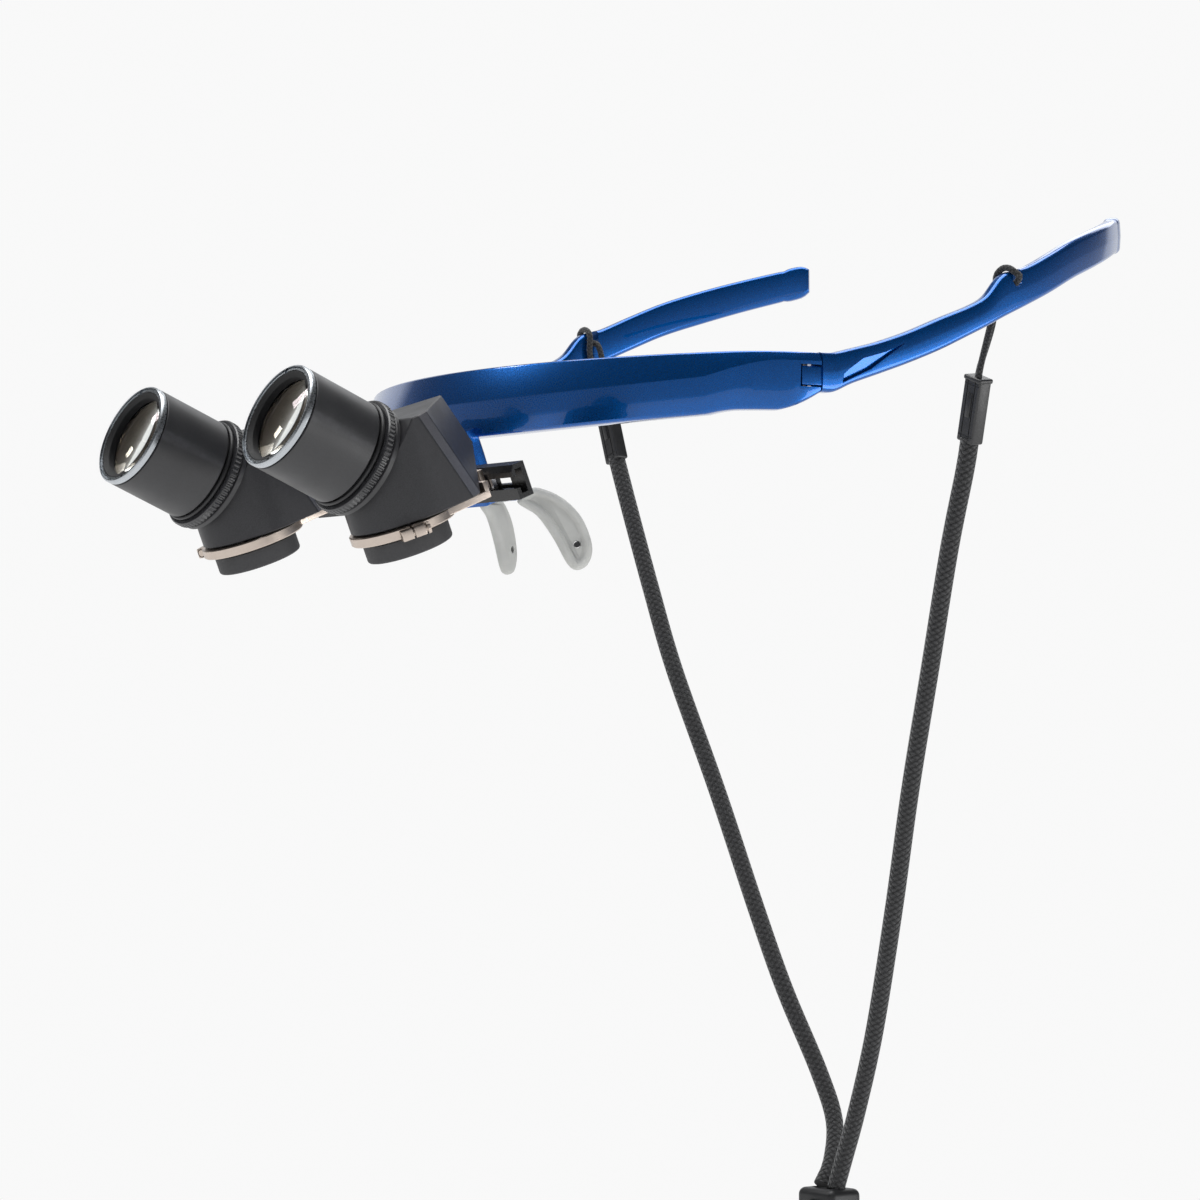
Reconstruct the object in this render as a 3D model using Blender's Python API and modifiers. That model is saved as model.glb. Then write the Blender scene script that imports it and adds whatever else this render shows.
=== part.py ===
"""Flip-up prism loupes on a wrap-around frame with a neck cord.

Object frame: +X to the wearer's left, -Y forward, +Z up, origin at the nose bridge.
Sizes are in millimetres and become metres where a mesh is made.
"""

import math

import bmesh
import bpy
from mathutils import Matrix, Vector

# Units and clearances
MM = 0.001
GAP = 0.3
PIN_PLAY = 0.2
TURN_STEPS = 28

# Brow bar: plan arcs of the outer face, and heights at the middle and at the hinges
BROW_FRONT_Y = -18.5
BROW_RADIUS = 114.0
WRAP_RADIUS = 25.5
WRAP_START = math.radians(31.8)
WRAP_END = math.radians(86.0)
BROW_THICK = 4.4
ARM_THICK = 4.0
BROW_TOP_Z = 29.3
BROW_BOTTOM_MID_Z = 15.1
BROW_BOTTOM_SIDE_Z = 17.7
ARM_BOTTOM_END_Z = 21.2
CREASE_MID_Z = 22.3
CREASE_SIDE_Z = 27.6
EDGE_ROUND = 0.7

# Temple hinge
HINGE_PIN_RADIUS = 0.8
HINGE_BOSS_RADIUS = 1.6
HINGE_PIN_INSET = 3.6
ARM_STRAIGHT = 0.0942934
ARM_END_Y = (BROW_FRONT_Y + BROW_RADIUS * (1.0 - math.cos(WRAP_START))
             + WRAP_RADIUS * (math.cos(WRAP_START) - math.cos(WRAP_END)) + ARM_STRAIGHT)
HINGE_PIN_BACKSET = 1.5
TONGUE_HEIGHT = 3.8
TONGUE_REACH = 2.6
TONGUE_MID_Z = 24.6

# Temples, counted from the root: middle line in plan (outward, back), and heights of both edges
TEMPLE_THICK = 3.2
TEMPLE_ROOT_THICK = 3.6
TEMPLE_OUTSET = 2.0
TEMPLE_PLAN = (
    (0.0, 0.0), (0.0, 3.5), (0.2, 8.1), (0.6, 14.6), (1.1, 22.1), (1.6, 30.1), (2.1, 37.6), (2.4, 42.1),
    (2.5, 46.6), (2.4, 52.6), (1.4, 60.1), (-0.9, 68.6), (-4.7, 78.1), (-9.5, 86.6), (-15.9, 95.1),
    (-18.9, 98.4),
)
TEMPLE_EDGES = (
    (0.0, 7.9), (0.2, 8.1), (2.1, 9.2), (4.3, 10.9), (6.9, 13.4), (10.0, 16.6), (13.4, 19.5), (15.5, 21.9),
    (17.7, 26.5), (20.4, 28.4), (23.7, 31.7), (27.5, 35.4), (30.9, 38.7), (33.8, 41.3), (36.5, 43.7),
    (37.5, 44.5),
)
NOTCH_FROM_ROOT = (2.5, 49.7, 24.1)
NOTCH_WIDTH = 2.4

# Loupe carrier: tilt of the eyepiece axis and the point where both optical axes cross
CARRIER_TILT = math.radians(22.5)
DEFLECTION = math.radians(45.0)
AXES_CROSS_Y = -55.0
AXES_CROSS_Z = 4.6
HALF_SPACING = 28.0

# Prism housing
HOUSING_HALF_WIDTH = 11.9
HOUSING_TOP = 10.0
HOUSING_BOTTOM = 9.2
HOUSING_FRONT = 5.4
UNDERCUT_LEAN = math.radians(50.0)
UNDERCUT_REACH = 15.0
HOUSING_WALL = 1.5
RIDGE_AT_TOP = 18.3
RIDGE_LEAN = math.radians(18.0)
ROOF_SLOPE = math.radians(46.0)
STRIP_DEPTH = 0.6
BASE_RADIUS = 10.1
BASE_SWEEP = math.radians(54.0)
BASE_FACETS = 6

# Objective barrel, counted along the barrel axis from the crossing point
RIM_REACH = 27.1
BARREL_RADIUS = 10.75
BARREL_BORE = 8.2
BARREL_WALL = 0.85
LENS_SEAT_DEPTH = 4.2
OBJECTIVE_EDGE = 2.3
OBJECTIVE_BULGE = 0.9
RETAINER_INNER = 9.0
RETAINER_LIP = 1.3
RETAINER_SLOT = 1.6
COLLAR_RADIUS = 11.5
COLLAR_LENGTH = 1.0
FOCUS_RADIUS = 11.9
FOCUS_LENGTH = 1.7
KNURL_COUNT = 56
KNURL_DEPTH = 0.25
GRIP_RING_RADIUS = 0.4
SPIGOT_RADIUS = 9.4

# Eyepiece and clamp plate
CLAMP_THICK = 2.0
CLAMP_RADIUS = 10.7
NECK_RADIUS = 8.0
CUP_RADIUS = 8.75
CUP_LENGTH = 3.9
CUP_BORE = 6.0
EYE_LENS_RADIUS = 6.9
EYE_LENS_EDGE = 1.7
EYE_LENS_BULGE = 0.6
LUG_LENGTH = 5.0
LUG_REACH = 2.0
SPLIT_WIDTH = 0.4
CLAMP_SCREW_RADIUS = 0.7
LUG_TURN = math.radians(25.0)
ARM_WIDTH = 7.0
SHELF_OUT = 9.4
SHELF_FRONT = 4.0
SHELF_BACK = 15.85
SHELF_THICK = 1.5
UPSTAND_IN = 4.0
UPSTAND_RISE = 1.9
TONGUE_INBOARD = 3.5
TAB_FRONT = 20.8
TAB_THICK = 1.15
TAB_RISE = 2.6
TONGUE_THICK = 1.6
TONGUE_HALF = 2.2
CARRIAGE_HALF = 3.2

# Rail
RAIL_LENGTH = 74.0
RAIL_DEPTH = 3.5
RAIL_HEIGHT = 7.0
RAIL_BACK_WALL = 1.0
RAIL_LIP = 0.9
RAIL_FLANGE = 1.0
RAIL_SLOT = 2.4
RAIL_MID_HEIGHT = -10.5
WINDOW_LENGTH = 5.0
WINDOW_HEIGHT = 1.6
WINDOW_FROM_END = 4.6

# Flip hinge, behind the rail
FLIP_PIN_RADIUS = 1.0
FLIP_PIN_BEHIND = 2.55
FLIP_PIN_ABOVE = 2.5
KNUCKLE_RADIUS = 2.1
KNUCKLE_HALF = 3.6
EAR_THICK = 2.0
EAR_RADIUS = 2.1
BRACKET_DROP = 5.5
BRACKET_RISE = 1.0
RAIL_SCREW_RADIUS = 0.7
RAIL_SCREW_HEAD = 1.2
RAIL_SCREW_SPREAD = 2.0
SPRING_THICK = 0.4
SPRING_HALF = 2.6
SPRING_TIP = 0.5

# Centre stem and bridge, counted back from the flip pin
STEM_FRONT = 7.4
STEM_THICK = 3.3
STEM_HALF_TOP = 5.9
STEM_HALF_BOTTOM = 5.4
STEM_RISE = 5.5
STEM_DROP = 10.6
BRIDGE_HALF = 4.9
BRIDGE_LOW = (-13.5, 2.5)
BRIDGE_HIGH = (-6.6, 4.6)

# Nose pads: outline in the pad's own plane, measured from its screw
PAD_SCREW_AT = (12.5, 2.5, -6.6)
PAD_SPLAY = math.radians(30.0)
PAD_THICK = 2.4
PAD_OUTLINE = (
    (-12.4, 8.8), (-9.6, 11.6), (-6.2, 11.2), (-2.4, 9.2), (0.8, 5.9), (2.7, 1.8),
    (3.2, -1.5), (2.2, -4.2), (0.0, -5.3), (-2.0, -4.0), (-4.9, 1.2), (-8.3, 5.9),
)
PAD_HOLE_RADIUS = 0.9

# Neck strap: sleeve ends and string are counted (outward, back, up) from the notch
STRING_RADIUS = 0.6
SLEEVE_SIZE = (5.0, 3.2, 14.0)
LEFT_SLEEVE_ENDS = ((-4.0, -5.6, -18.3), (-8.8, -4.0, -31.6))
RIGHT_SLEEVE_ENDS = ((-2.4, 2.7, -14.0), (-7.2, 2.5, -27.3))
STRING_SPREAD = 0.9
STRING_LEAD = 1.5
STRING_INNER_WAY = ((-0.3, -2.8, -10.6), (0.0, -0.7, -4.1))
STRING_OUTER_WAY = ((0.0, -1.0, -4.1), (-1.0, -3.2, -10.6))
CORD_RADIUS = 1.95
CORD_STEP = 9.0
LOCK_TOP_Z = -144.6
LOCK_Y = 80.0
LOCK_SIZE = (12.0, 9.0, 17.0)
LOCK_HOLE_SPREAD = 2.4
LOCK_HOLE_RADIUS = 2.15
BUTTON_RADIUS = 2.6
BUTTON_REACH = 3.4
BUTTON_DEPTH = 1.6
BUTTON_BORE = 6.2
BUTTON_PRESS = 3.0
BUTTON_DROP = 5.0
LOCK_SPRING_WIRE = 0.25
LOCK_SPRING_RADIUS = 1.5
LOCK_SPRING_TURNS = 3

# Sway of each cord (outward, back) off the straight line to the lock at even steps, and the tail under it
CORD_LEAD = 6.0
LEFT_CORD_SWAY = (
    (-0.3, -0.2), (-0.4, 0.0), (-0.3, 0.4), (-0.3, 0.6), (-0.3, 0.9), (-0.3, 1.5), (-0.2, 2.2), (-0.2, 2.7),
    (-0.2, 3.1), (-0.1, 2.7), (-0.1, 1.7),
)
RIGHT_CORD_SWAY = (
    (-0.3, -0.2), (-0.3, -0.4), (-0.2, -0.5), (-0.2, 0.5), (-0.1, 1.7), (-0.1, 2.6), (-0.2, 3.3), (-0.2, 4.1),
    (-0.1, 5.6), (-0.2, 7.8), (-0.8, 7.9),
)
TAIL_HALF = ((2.4, 0.4), (2.6, 4.4), (6.0, 15.4), (8.9, 27.4), (7.2, 36.4), (0.0, 40.6))

# Places worked out from the sizes above
AXES_CROSS = Vector((0.0, AXES_CROSS_Y, AXES_CROSS_Z))
CARRIER = Matrix.Translation(AXES_CROSS) @ Matrix.Rotation(CARRIER_TILT, 4, "X")
CLAMP_TOP = -HOUSING_BOTTOM - GAP
CLAMP_FOOT = CLAMP_TOP - CLAMP_THICK
CUP_TOP = CLAMP_FOOT - GAP
CUP_FOOT = CUP_TOP - CUP_LENGTH
TAB_BACK = TAB_FRONT + TAB_THICK
RAIL_FRONT = TAB_BACK + GAP
RAIL_BACK = RAIL_FRONT + RAIL_DEPTH
FLIP_PIN_AT = Vector((0.0, RAIL_BACK + FLIP_PIN_BEHIND, RAIL_MID_HEIGHT + FLIP_PIN_ABOVE))
COLLAR_FROM = HOUSING_FRONT + GAP
FOCUS_FROM = COLLAR_FROM + COLLAR_LENGTH + GAP
BARREL_FROM = FOCUS_FROM + FOCUS_LENGTH + GAP
RETAINER_FROM = RIM_REACH - RETAINER_LIP
BARREL_TO = RETAINER_FROM - GAP
LENS_SEAT_RADIUS = BARREL_RADIUS - BARREL_WALL
LENS_SHOULDER = BARREL_TO - LENS_SEAT_DEPTH

parts = None
cutters = None
materials = {}


def clear_scene():
    for item in list(bpy.data.objects):
        bpy.data.objects.remove(item)
    for group in list(bpy.data.collections):
        bpy.data.collections.remove(group)


def make_collections():
    global parts, cutters
    parts = bpy.data.collections.new("prism_loupes")
    cutters = bpy.data.collections.new("cutters")
    bpy.context.scene.collection.children.link(parts)
    bpy.context.scene.collection.children.link(cutters)


def make_material(name, colour, roughness, metallic=0.0):
    material = bpy.data.materials.new(name)
    material.use_nodes = True
    shader = material.node_tree.nodes["Principled BSDF"]
    shader.inputs["Base Color"].default_value = (*colour, 1.0)
    shader.inputs["Roughness"].default_value = roughness
    shader.inputs["Metallic"].default_value = metallic
    materials[name] = material


def make_materials():
    make_material("pearl_blue", (0.015, 0.075, 0.27), 0.22, 0.35)
    make_material("satin_black", (0.018, 0.018, 0.02), 0.45, 0.3)
    make_material("rail_black", (0.012, 0.012, 0.013), 0.5)
    make_material("rubber_grey", (0.035, 0.035, 0.038), 0.7)
    make_material("champagne", (0.62, 0.53, 0.45), 0.35, 0.9)
    make_material("silver", (0.72, 0.75, 0.78), 0.25, 1.0)
    make_material("steel", (0.5, 0.5, 0.52), 0.3, 1.0)
    make_material("glass", (0.85, 0.88, 0.84), 0.05)
    make_material("pad_grey", (0.55, 0.54, 0.5), 0.5)
    make_material("braid_black", (0.02, 0.02, 0.022), 0.85)


def finish(item, material, smooth=True):
    item.data.materials.clear()
    item.data.materials.append(materials[material])
    if smooth:
        item.data.shade_smooth()
        item.data.set_sharp_from_angle(angle=math.radians(35.0))
    return item


def new_object(name, mesh, place=Matrix.Identity(4), collection=None):
    item = bpy.data.objects.new(name, mesh)
    (collection or parts).objects.link(item)
    item.matrix_world = in_metres(place)
    return item


def in_metres(place):
    moved = place.copy()
    moved.translation = place.translation * MM
    return moved


def mesh_from(name, build):
    grid = bmesh.new()
    build(grid)
    bmesh.ops.recalc_face_normals(grid, faces=grid.faces)
    mesh = bpy.data.meshes.new(name)
    grid.to_mesh(mesh)
    grid.free()
    return mesh


def baked(item):
    """Replace the object's mesh by its evaluated one, so that later cuts see a plain mesh."""
    bpy.context.view_layer.update()
    graph = bpy.context.evaluated_depsgraph_get()
    mesh = bpy.data.meshes.new_from_object(item.evaluated_get(graph))
    item.modifiers.clear()
    item.data = mesh
    return item


def outward(item):
    """Turn every face of a closed mesh to point out of it."""
    mesh = item.data
    item.data = mesh_from(item.name, lambda grid: grid.from_mesh(mesh))
    return item


def cutter(item):
    for group in list(item.users_collection):
        group.objects.unlink(item)
    cutters.objects.link(item)
    item.hide_render = True
    item.display_type = "WIRE"
    return item


def boolean(item, other, operation="DIFFERENCE"):
    cutter(other)
    modifier = item.modifiers.new(operation.lower(), "BOOLEAN")
    modifier.operation = operation
    modifier.solver = "EXACT"
    modifier.object = other
    return item


def box(name, low, high, place=Matrix.Identity(4)):
    low = Vector(low) * MM
    high = Vector(high) * MM

    def build(grid):
        middle = Matrix.Translation((low + high) / 2)
        size = Matrix.Diagonal((*(high - low), 1.0))
        bmesh.ops.create_cube(grid, size=1.0, matrix=middle @ size)

    return new_object(name, mesh_from(name, build), place)


def cylinder(name, radius, start, end, place=Matrix.Identity(4), sides=TURN_STEPS):
    """A cylinder along the local Z axis from start to end."""
    def build(grid):
        middle = Matrix.Translation((0.0, 0.0, (start + end) / 2 * MM))
        bmesh.ops.create_cone(
            grid, cap_ends=True, segments=sides, radius1=radius * MM, radius2=radius * MM,
            depth=(end - start) * MM, matrix=middle)

    return new_object(name, mesh_from(name, build), place)


def turned(name, profile, place, steps=TURN_STEPS, closed=True):
    """A profile of (radius, height) points, outer side top to bottom, turned about local Z."""
    mesh = bpy.data.meshes.new(name)
    points = [(radius * MM, 0.0, height * MM) for radius, height in profile]
    edges = [(index, index + 1) for index in range(len(points) - 1)]
    if closed:
        edges.append((len(points) - 1, 0))
    mesh.from_pydata(points, edges, [])
    item = new_object(name, mesh, place)
    screw = item.modifiers.new("turn", "SCREW")
    screw.axis = "Z"
    screw.steps = steps
    screw.render_steps = steps
    screw.use_merge_vertices = True
    screw.merge_threshold = 0.00001
    return outward(baked(item))


def lens_profile(radius, low, high, bulge, points=6):
    """A biconvex profile from the top of the axis round the edge to its foot."""
    profile = []
    for index in range(points):
        part = index / points
        profile.append((radius * part, high + bulge * (1.0 - part * part)))
    profile.append((radius, high))
    for index in range(points + 1):
        part = 1.0 - index / points
        profile.append((radius * part, low - bulge * (1.0 - part * part)))
    return profile


def loft(name, sections, place=Matrix.Identity(4)):
    """Skin between rings of points of equal count, closed by flat ends."""
    def build(grid):
        rings = [[grid.verts.new(Vector(point) * MM) for point in ring] for ring in sections]
        count = len(rings[0])
        for first, second in zip(rings, rings[1:]):
            for index in range(count):
                after = (index + 1) % count
                grid.faces.new((first[index], first[after], second[after], second[index]))
        grid.faces.new(rings[0])
        grid.faces.new(rings[-1])

    return new_object(name, mesh_from(name, build), place)


def sliced_block(name, planes, place, reach=40.0):
    """A block cut by planes, each an outward normal and its distance from the local origin."""
    def build(grid):
        bmesh.ops.create_cube(grid, size=2 * reach * MM)
        for normal, distance in planes:
            normal = Vector(normal).normalized()
            everything = grid.verts[:] + grid.edges[:] + grid.faces[:]
            cut = bmesh.ops.bisect_plane(
                grid, geom=everything, dist=1e-7, plane_co=normal * distance * MM,
                plane_no=normal, clear_outer=True)
            rim = [edge for edge in cut["geom_cut"] if isinstance(edge, bmesh.types.BMEdge)]
            if rim:
                bmesh.ops.contextual_create(grid, geom=rim)
        bmesh.ops.remove_doubles(grid, verts=grid.verts, dist=1e-6)

    return new_object(name, mesh_from(name, build), place)


def round_edges(item, width, segments=2):
    bevel = item.modifiers.new("rounded", "BEVEL")
    bevel.width = width * MM
    bevel.segments = segments
    bevel.limit_method = "ANGLE"
    bevel.angle_limit = math.radians(40.0)
    return item


def smooth_route(points, step):
    """Points about a step apart on a smooth curve through the given ones."""
    knots = [Vector(point) for point in points]
    ends = [2 * knots[0] - knots[1], *knots, 2 * knots[-1] - knots[-2]]
    route = [knots[0]]
    for a, b, c, d in zip(ends, ends[1:], ends[2:], ends[3:]):
        pieces = max(1, round((c - b).length / step))
        for index in range(1, pieces + 1):
            t = index / pieces
            spot = 0.5 * (2 * b + (c - a) * t + (2 * a - 5 * b + 4 * c - d) * t * t
                          + (3 * b - a - 3 * c + d) * t ** 3)
            route.append(spot)
    return route


def tube(name, route, radius, material, resolution=2):
    """A round tube along a route, with filled ends."""
    curve = bpy.data.curves.new(name, "CURVE")
    curve.dimensions = "3D"
    curve.bevel_depth = radius * MM
    curve.bevel_resolution = resolution
    curve.use_fill_caps = True
    spline = curve.splines.new("POLY")
    spline.points.add(len(route) - 1)
    for point, spot in zip(spline.points, route):
        point.co = (*(spot * MM), 1.0)
    curve.materials.append(materials[material])
    item = bpy.data.objects.new(name, curve)
    parts.objects.link(item)
    return item


def side_name(name, side):
    return f"{name}_{'left' if side > 0 else 'right'}"


def brow_plan(turn):
    """Point and outward direction on the outer face, where the plan has turned by an angle."""
    size = abs(turn)
    first = min(size, WRAP_START)
    across = BROW_RADIUS * math.sin(first)
    back = BROW_RADIUS * (1.0 - math.cos(first))
    if size > WRAP_START:
        across += WRAP_RADIUS * (math.sin(size) - math.sin(WRAP_START))
        back += WRAP_RADIUS * (math.cos(WRAP_START) - math.cos(size))
    sign = math.copysign(1.0, turn)
    point = Vector((sign * across, BROW_FRONT_Y + back, 0.0))
    outward = Vector((math.sin(turn), -math.cos(turn), 0.0))
    return point, outward


def blend(low, high, part):
    part = min(max(part, 0.0), 1.0)
    return low + (high - low) * part * part * (3.0 - 2.0 * part)


def brow_section(point, outward, part):
    """The bar's section: flat lower face, crease, upper face leaning back, rounded corners."""
    thick = BROW_THICK + (ARM_THICK - BROW_THICK) * part
    top = BROW_TOP_Z
    middle = blend(BROW_BOTTOM_MID_Z, BROW_BOTTOM_SIDE_Z, part / 0.5)
    bottom = middle + (ARM_BOTTOM_END_Z - BROW_BOTTOM_SIDE_Z) * max(0.0, (part - 0.72) / 0.28) ** 1.5
    crease = blend(CREASE_MID_Z, CREASE_SIDE_Z, part / 0.75)
    lean = blend(1.7, 0.5, part / 0.75)
    edge = EDGE_ROUND
    profile = (
        (-edge, bottom), (0.0, bottom + edge), (0.25, (bottom + crease) / 2), (0.0, crease),
        (-lean, top - edge), (-lean - edge, top), (-thick + edge, top), (-thick, top - edge),
        (-thick, bottom + edge), (-thick + edge, bottom),
    )
    return [point + outward * off + Vector((0.0, 0.0, height)) for off, height in profile]


def hinge_place(side):
    """Middle of the hinge pin in plan."""
    end, _ = brow_plan(WRAP_END)
    return Vector((side * (end.x - HINGE_PIN_INSET), ARM_END_Y - HINGE_PIN_BACKSET, 0.0))


def hinge_cutter(name, side, radius):
    place = Matrix.Translation(hinge_place(side))
    return cylinder(name, radius, ARM_BOTTOM_END_Z - 5.0, BROW_TOP_Z + 5.0, place, 16)


def carrier_prism(name, outline, half, offset=0.0):
    """An outline in the carrier's side plane (back, up), as thick as twice half, across X."""
    sections = [[(offset + x, back, up) for back, up in outline] for x in (-half, half)]
    return loft(name, sections, CARRIER)


def round_nose(centre, radius, start, end, steps=10):
    angles = [start + (end - start) * index / steps for index in range(steps + 1)]
    return [(centre.y + radius * math.cos(a), centre.z + radius * math.sin(a)) for a in angles]


def brow_frame():
    stations = []
    count = 22
    for index in range(-count, count + 1):
        part = abs(index) / count
        turn = math.copysign(WRAP_END * part ** 0.85, index)
        stations.append(brow_section(*brow_plan(turn), part))
    for stations_at, turn in ((0, -WRAP_END), (len(stations) + 1, WRAP_END)):
        point, outward = brow_plan(turn)
        along = Vector((-outward.y, outward.x, 0.0)) * math.copysign(1.0, turn)
        point = point + along * ((ARM_END_Y - point.y) / along.y)
        stations.insert(stations_at, brow_section(point, outward, 1.0))
    frame = loft("brow_frame", stations)

    pin = FLIP_PIN_AT
    front = pin.y + STEM_FRONT
    back = front + STEM_THICK
    top = pin.z + STEM_RISE
    foot = pin.z - STEM_DROP
    stem_rings = []
    for height, half in ((foot, STEM_HALF_BOTTOM), (pin.z, STEM_HALF_TOP), (top, STEM_HALF_TOP)):
        stem_rings.append([(-half, front, height), (half, front, height),
                           (half, back, height), (-half, back, height)])
    boolean(frame, loft("stem", stem_rings, CARRIER), "UNION")
    bridge = box("bridge", (-BRIDGE_HALF, *BRIDGE_LOW), (BRIDGE_HALF, *BRIDGE_HIGH))
    boolean(frame, bridge, "UNION")

    for side in (1, -1):
        ear = round_nose(pin, EAR_RADIUS, math.radians(90.0), math.radians(270.0))
        ear += [(front + 1.0, pin.z - EAR_RADIUS), (front + 1.0, pin.z + EAR_RADIUS)]
        offset = side * (KNUCKLE_HALF + GAP + EAR_THICK / 2)
        boolean(frame, carrier_prism(side_name("ear", side), ear, EAR_THICK / 2, offset), "UNION")
        place = Matrix.Translation(hinge_place(side))
        boss = cylinder(side_name("hinge_boss", side), HINGE_BOSS_RADIUS,
                        ARM_BOTTOM_END_Z + EDGE_ROUND, BROW_TOP_Z - EDGE_ROUND, place, 16)
        boolean(frame, boss, "UNION")

    turn_x = Matrix.Rotation(math.radians(90.0), 4, "Y")
    reach = 2 * (KNUCKLE_HALF + EAR_THICK)
    hole = cylinder("flip_hole", FLIP_PIN_RADIUS + PIN_PLAY, -reach, reach,
                    CARRIER @ Matrix.Translation(pin) @ turn_x, 20)
    boolean(frame, hole)
    for side in (1, -1):
        pocket_half = TONGUE_HEIGHT / 2 + GAP
        pin_y = hinge_place(side).y
        low = (hinge_place(side).x - 8.0, pin_y - TONGUE_REACH - 2 * GAP, TONGUE_MID_Z - pocket_half)
        high = (hinge_place(side).x + 8.0, pin_y + 8.0, TONGUE_MID_Z + pocket_half)
        boolean(frame, box(side_name("hinge_pocket", side), low, high))
        boolean(frame, hinge_cutter(side_name("arm_hole", side), side, HINGE_PIN_RADIUS + PIN_PLAY))
    finish(baked(frame), "pearl_blue")


def temple_section(centre, along, low, high, thick):
    across = Vector((along.y, -along.x, 0.0)).normalized() * (thick / 2)
    edge = EDGE_ROUND
    inset = across.normalized() * edge
    up = Vector((0.0, 0.0, 1.0))
    return [
        centre + across - inset + up * low, centre + across + up * (low + edge),
        centre + across * 1.12 + up * (low + high) / 2, centre + across + up * (high - edge),
        centre + across - inset + up * high, centre - across + inset + up * high,
        centre - across + up * (high - edge), centre - across + up * (low + edge),
        centre - across + inset + up * low,
    ]


def temple_root(side):
    """Lowest point of the temple's middle line, where it meets the brow bar's arm."""
    pin = hinge_place(side)
    return Vector((pin.x + side * TEMPLE_OUTSET, ARM_END_Y + GAP, ARM_BOTTOM_END_Z + GAP))


def notch_floor(side):
    outward, back, up = NOTCH_FROM_ROOT
    return temple_root(side) + Vector((side * outward, back, up))


def temple(side):
    name = side_name("temple", side)
    root = temple_root(side)
    stations = [root + Vector((side * outward, back, 0.0)) for outward, back in TEMPLE_PLAN]
    rings = []
    for index, (low, high) in enumerate(TEMPLE_EDGES):
        before = stations[max(index - 1, 0)]
        after = stations[min(index + 1, len(stations) - 1)]
        along = (after - before) * side
        part = min(index / 4.0, 1.0)
        thick = TEMPLE_ROOT_THICK + (TEMPLE_THICK - TEMPLE_ROOT_THICK) * part
        rings.append(temple_section(stations[index], along, low, high, thick))
    arm = loft(name, rings)

    pin = hinge_place(side)
    outer = stations[0].x + side * (TEMPLE_ROOT_THICK / 2 - EDGE_ROUND)
    inner = pin.x - side * HINGE_BOSS_RADIUS
    low = (min(outer, inner), pin.y - TONGUE_REACH, TONGUE_MID_Z - TONGUE_HEIGHT / 2)
    high = (max(outer, inner), stations[0].y + 1.5, TONGUE_MID_Z + TONGUE_HEIGHT / 2)
    boolean(arm, box(side_name("tongue", side), low, high), "UNION")
    boolean(arm, hinge_cutter(side_name("tongue_hole", side), side, HINGE_PIN_RADIUS + PIN_PLAY))

    turn_x = Matrix.Rotation(math.radians(90.0), 4, "Y")
    floor = notch_floor(side) + Vector((0.0, 0.0, NOTCH_WIDTH / 2))
    reach = 2 * TEMPLE_THICK
    notch = cylinder(side_name("notch", side), NOTCH_WIDTH / 2, -reach, reach,
                     Matrix.Translation(floor) @ turn_x, 16)
    boolean(arm, notch)
    slot = box(side_name("notch_mouth", side),
               floor - Vector((reach, NOTCH_WIDTH / 2, 0.0)), floor + Vector((reach, NOTCH_WIDTH / 2, reach)))
    boolean(arm, slot)
    finish(baked(arm), "pearl_blue")

    foot = ARM_BOTTOM_END_Z + EDGE_ROUND + GAP
    pin_item = cylinder(side_name("hinge_pin", side), HINGE_PIN_RADIUS, foot, BROW_TOP_Z - EDGE_ROUND - GAP,
                        Matrix.Translation(pin), 16)
    finish(pin_item, "steel")


def nose_pad(side):
    curve = bpy.data.curves.new(side_name("nose_pad", side), "CURVE")
    curve.dimensions = "2D"
    curve.fill_mode = "BOTH"
    curve.extrude = PAD_THICK / 2 * MM
    curve.resolution_u = 3
    curve.use_fill_caps = True
    spline = curve.splines.new("BEZIER")
    spline.bezier_points.add(len(PAD_OUTLINE) - 1)
    for point, (along, up) in zip(spline.bezier_points, PAD_OUTLINE):
        point.co = (along * MM, up * MM, 0.0)
        point.handle_left_type = "AUTO"
        point.handle_right_type = "AUTO"
    spline.use_cyclic_u = True
    shape = bpy.data.objects.new(side_name("pad_outline", side), curve)
    parts.objects.link(shape)

    along = Vector((side * math.sin(PAD_SPLAY), math.cos(PAD_SPLAY), 0.0))
    up = Vector((0.0, 0.0, 1.0))
    normal = along.cross(up)
    place = Matrix((along, up, normal)).transposed().to_4x4()
    screw_at = Vector((side * PAD_SCREW_AT[0], *PAD_SCREW_AT[1:]))
    place.translation = screw_at
    bpy.context.view_layer.update()
    graph = bpy.context.evaluated_depsgraph_get()
    mesh = bpy.data.meshes.new_from_object(shape.evaluated_get(graph))
    bpy.data.objects.remove(shape)

    def build(grid):
        grid.from_mesh(mesh)
        bmesh.ops.remove_doubles(grid, verts=grid.verts, dist=1e-6)

    pad = new_object(side_name("nose_pad", side), mesh_from("pad", build), place)
    hole = cylinder(side_name("pad_hole", side), PAD_HOLE_RADIUS, -5.0, 5.0, place, 16)
    boolean(pad, hole)
    finish(baked(pad), "pad_grey")

    shank = PAD_THICK / 2
    screw = cylinder(side_name("nose_pad_screw", side), PAD_HOLE_RADIUS - GAP, -shank + GAP, shank - GAP,
                     place, 12)
    finish(screw, "steel")


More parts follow.
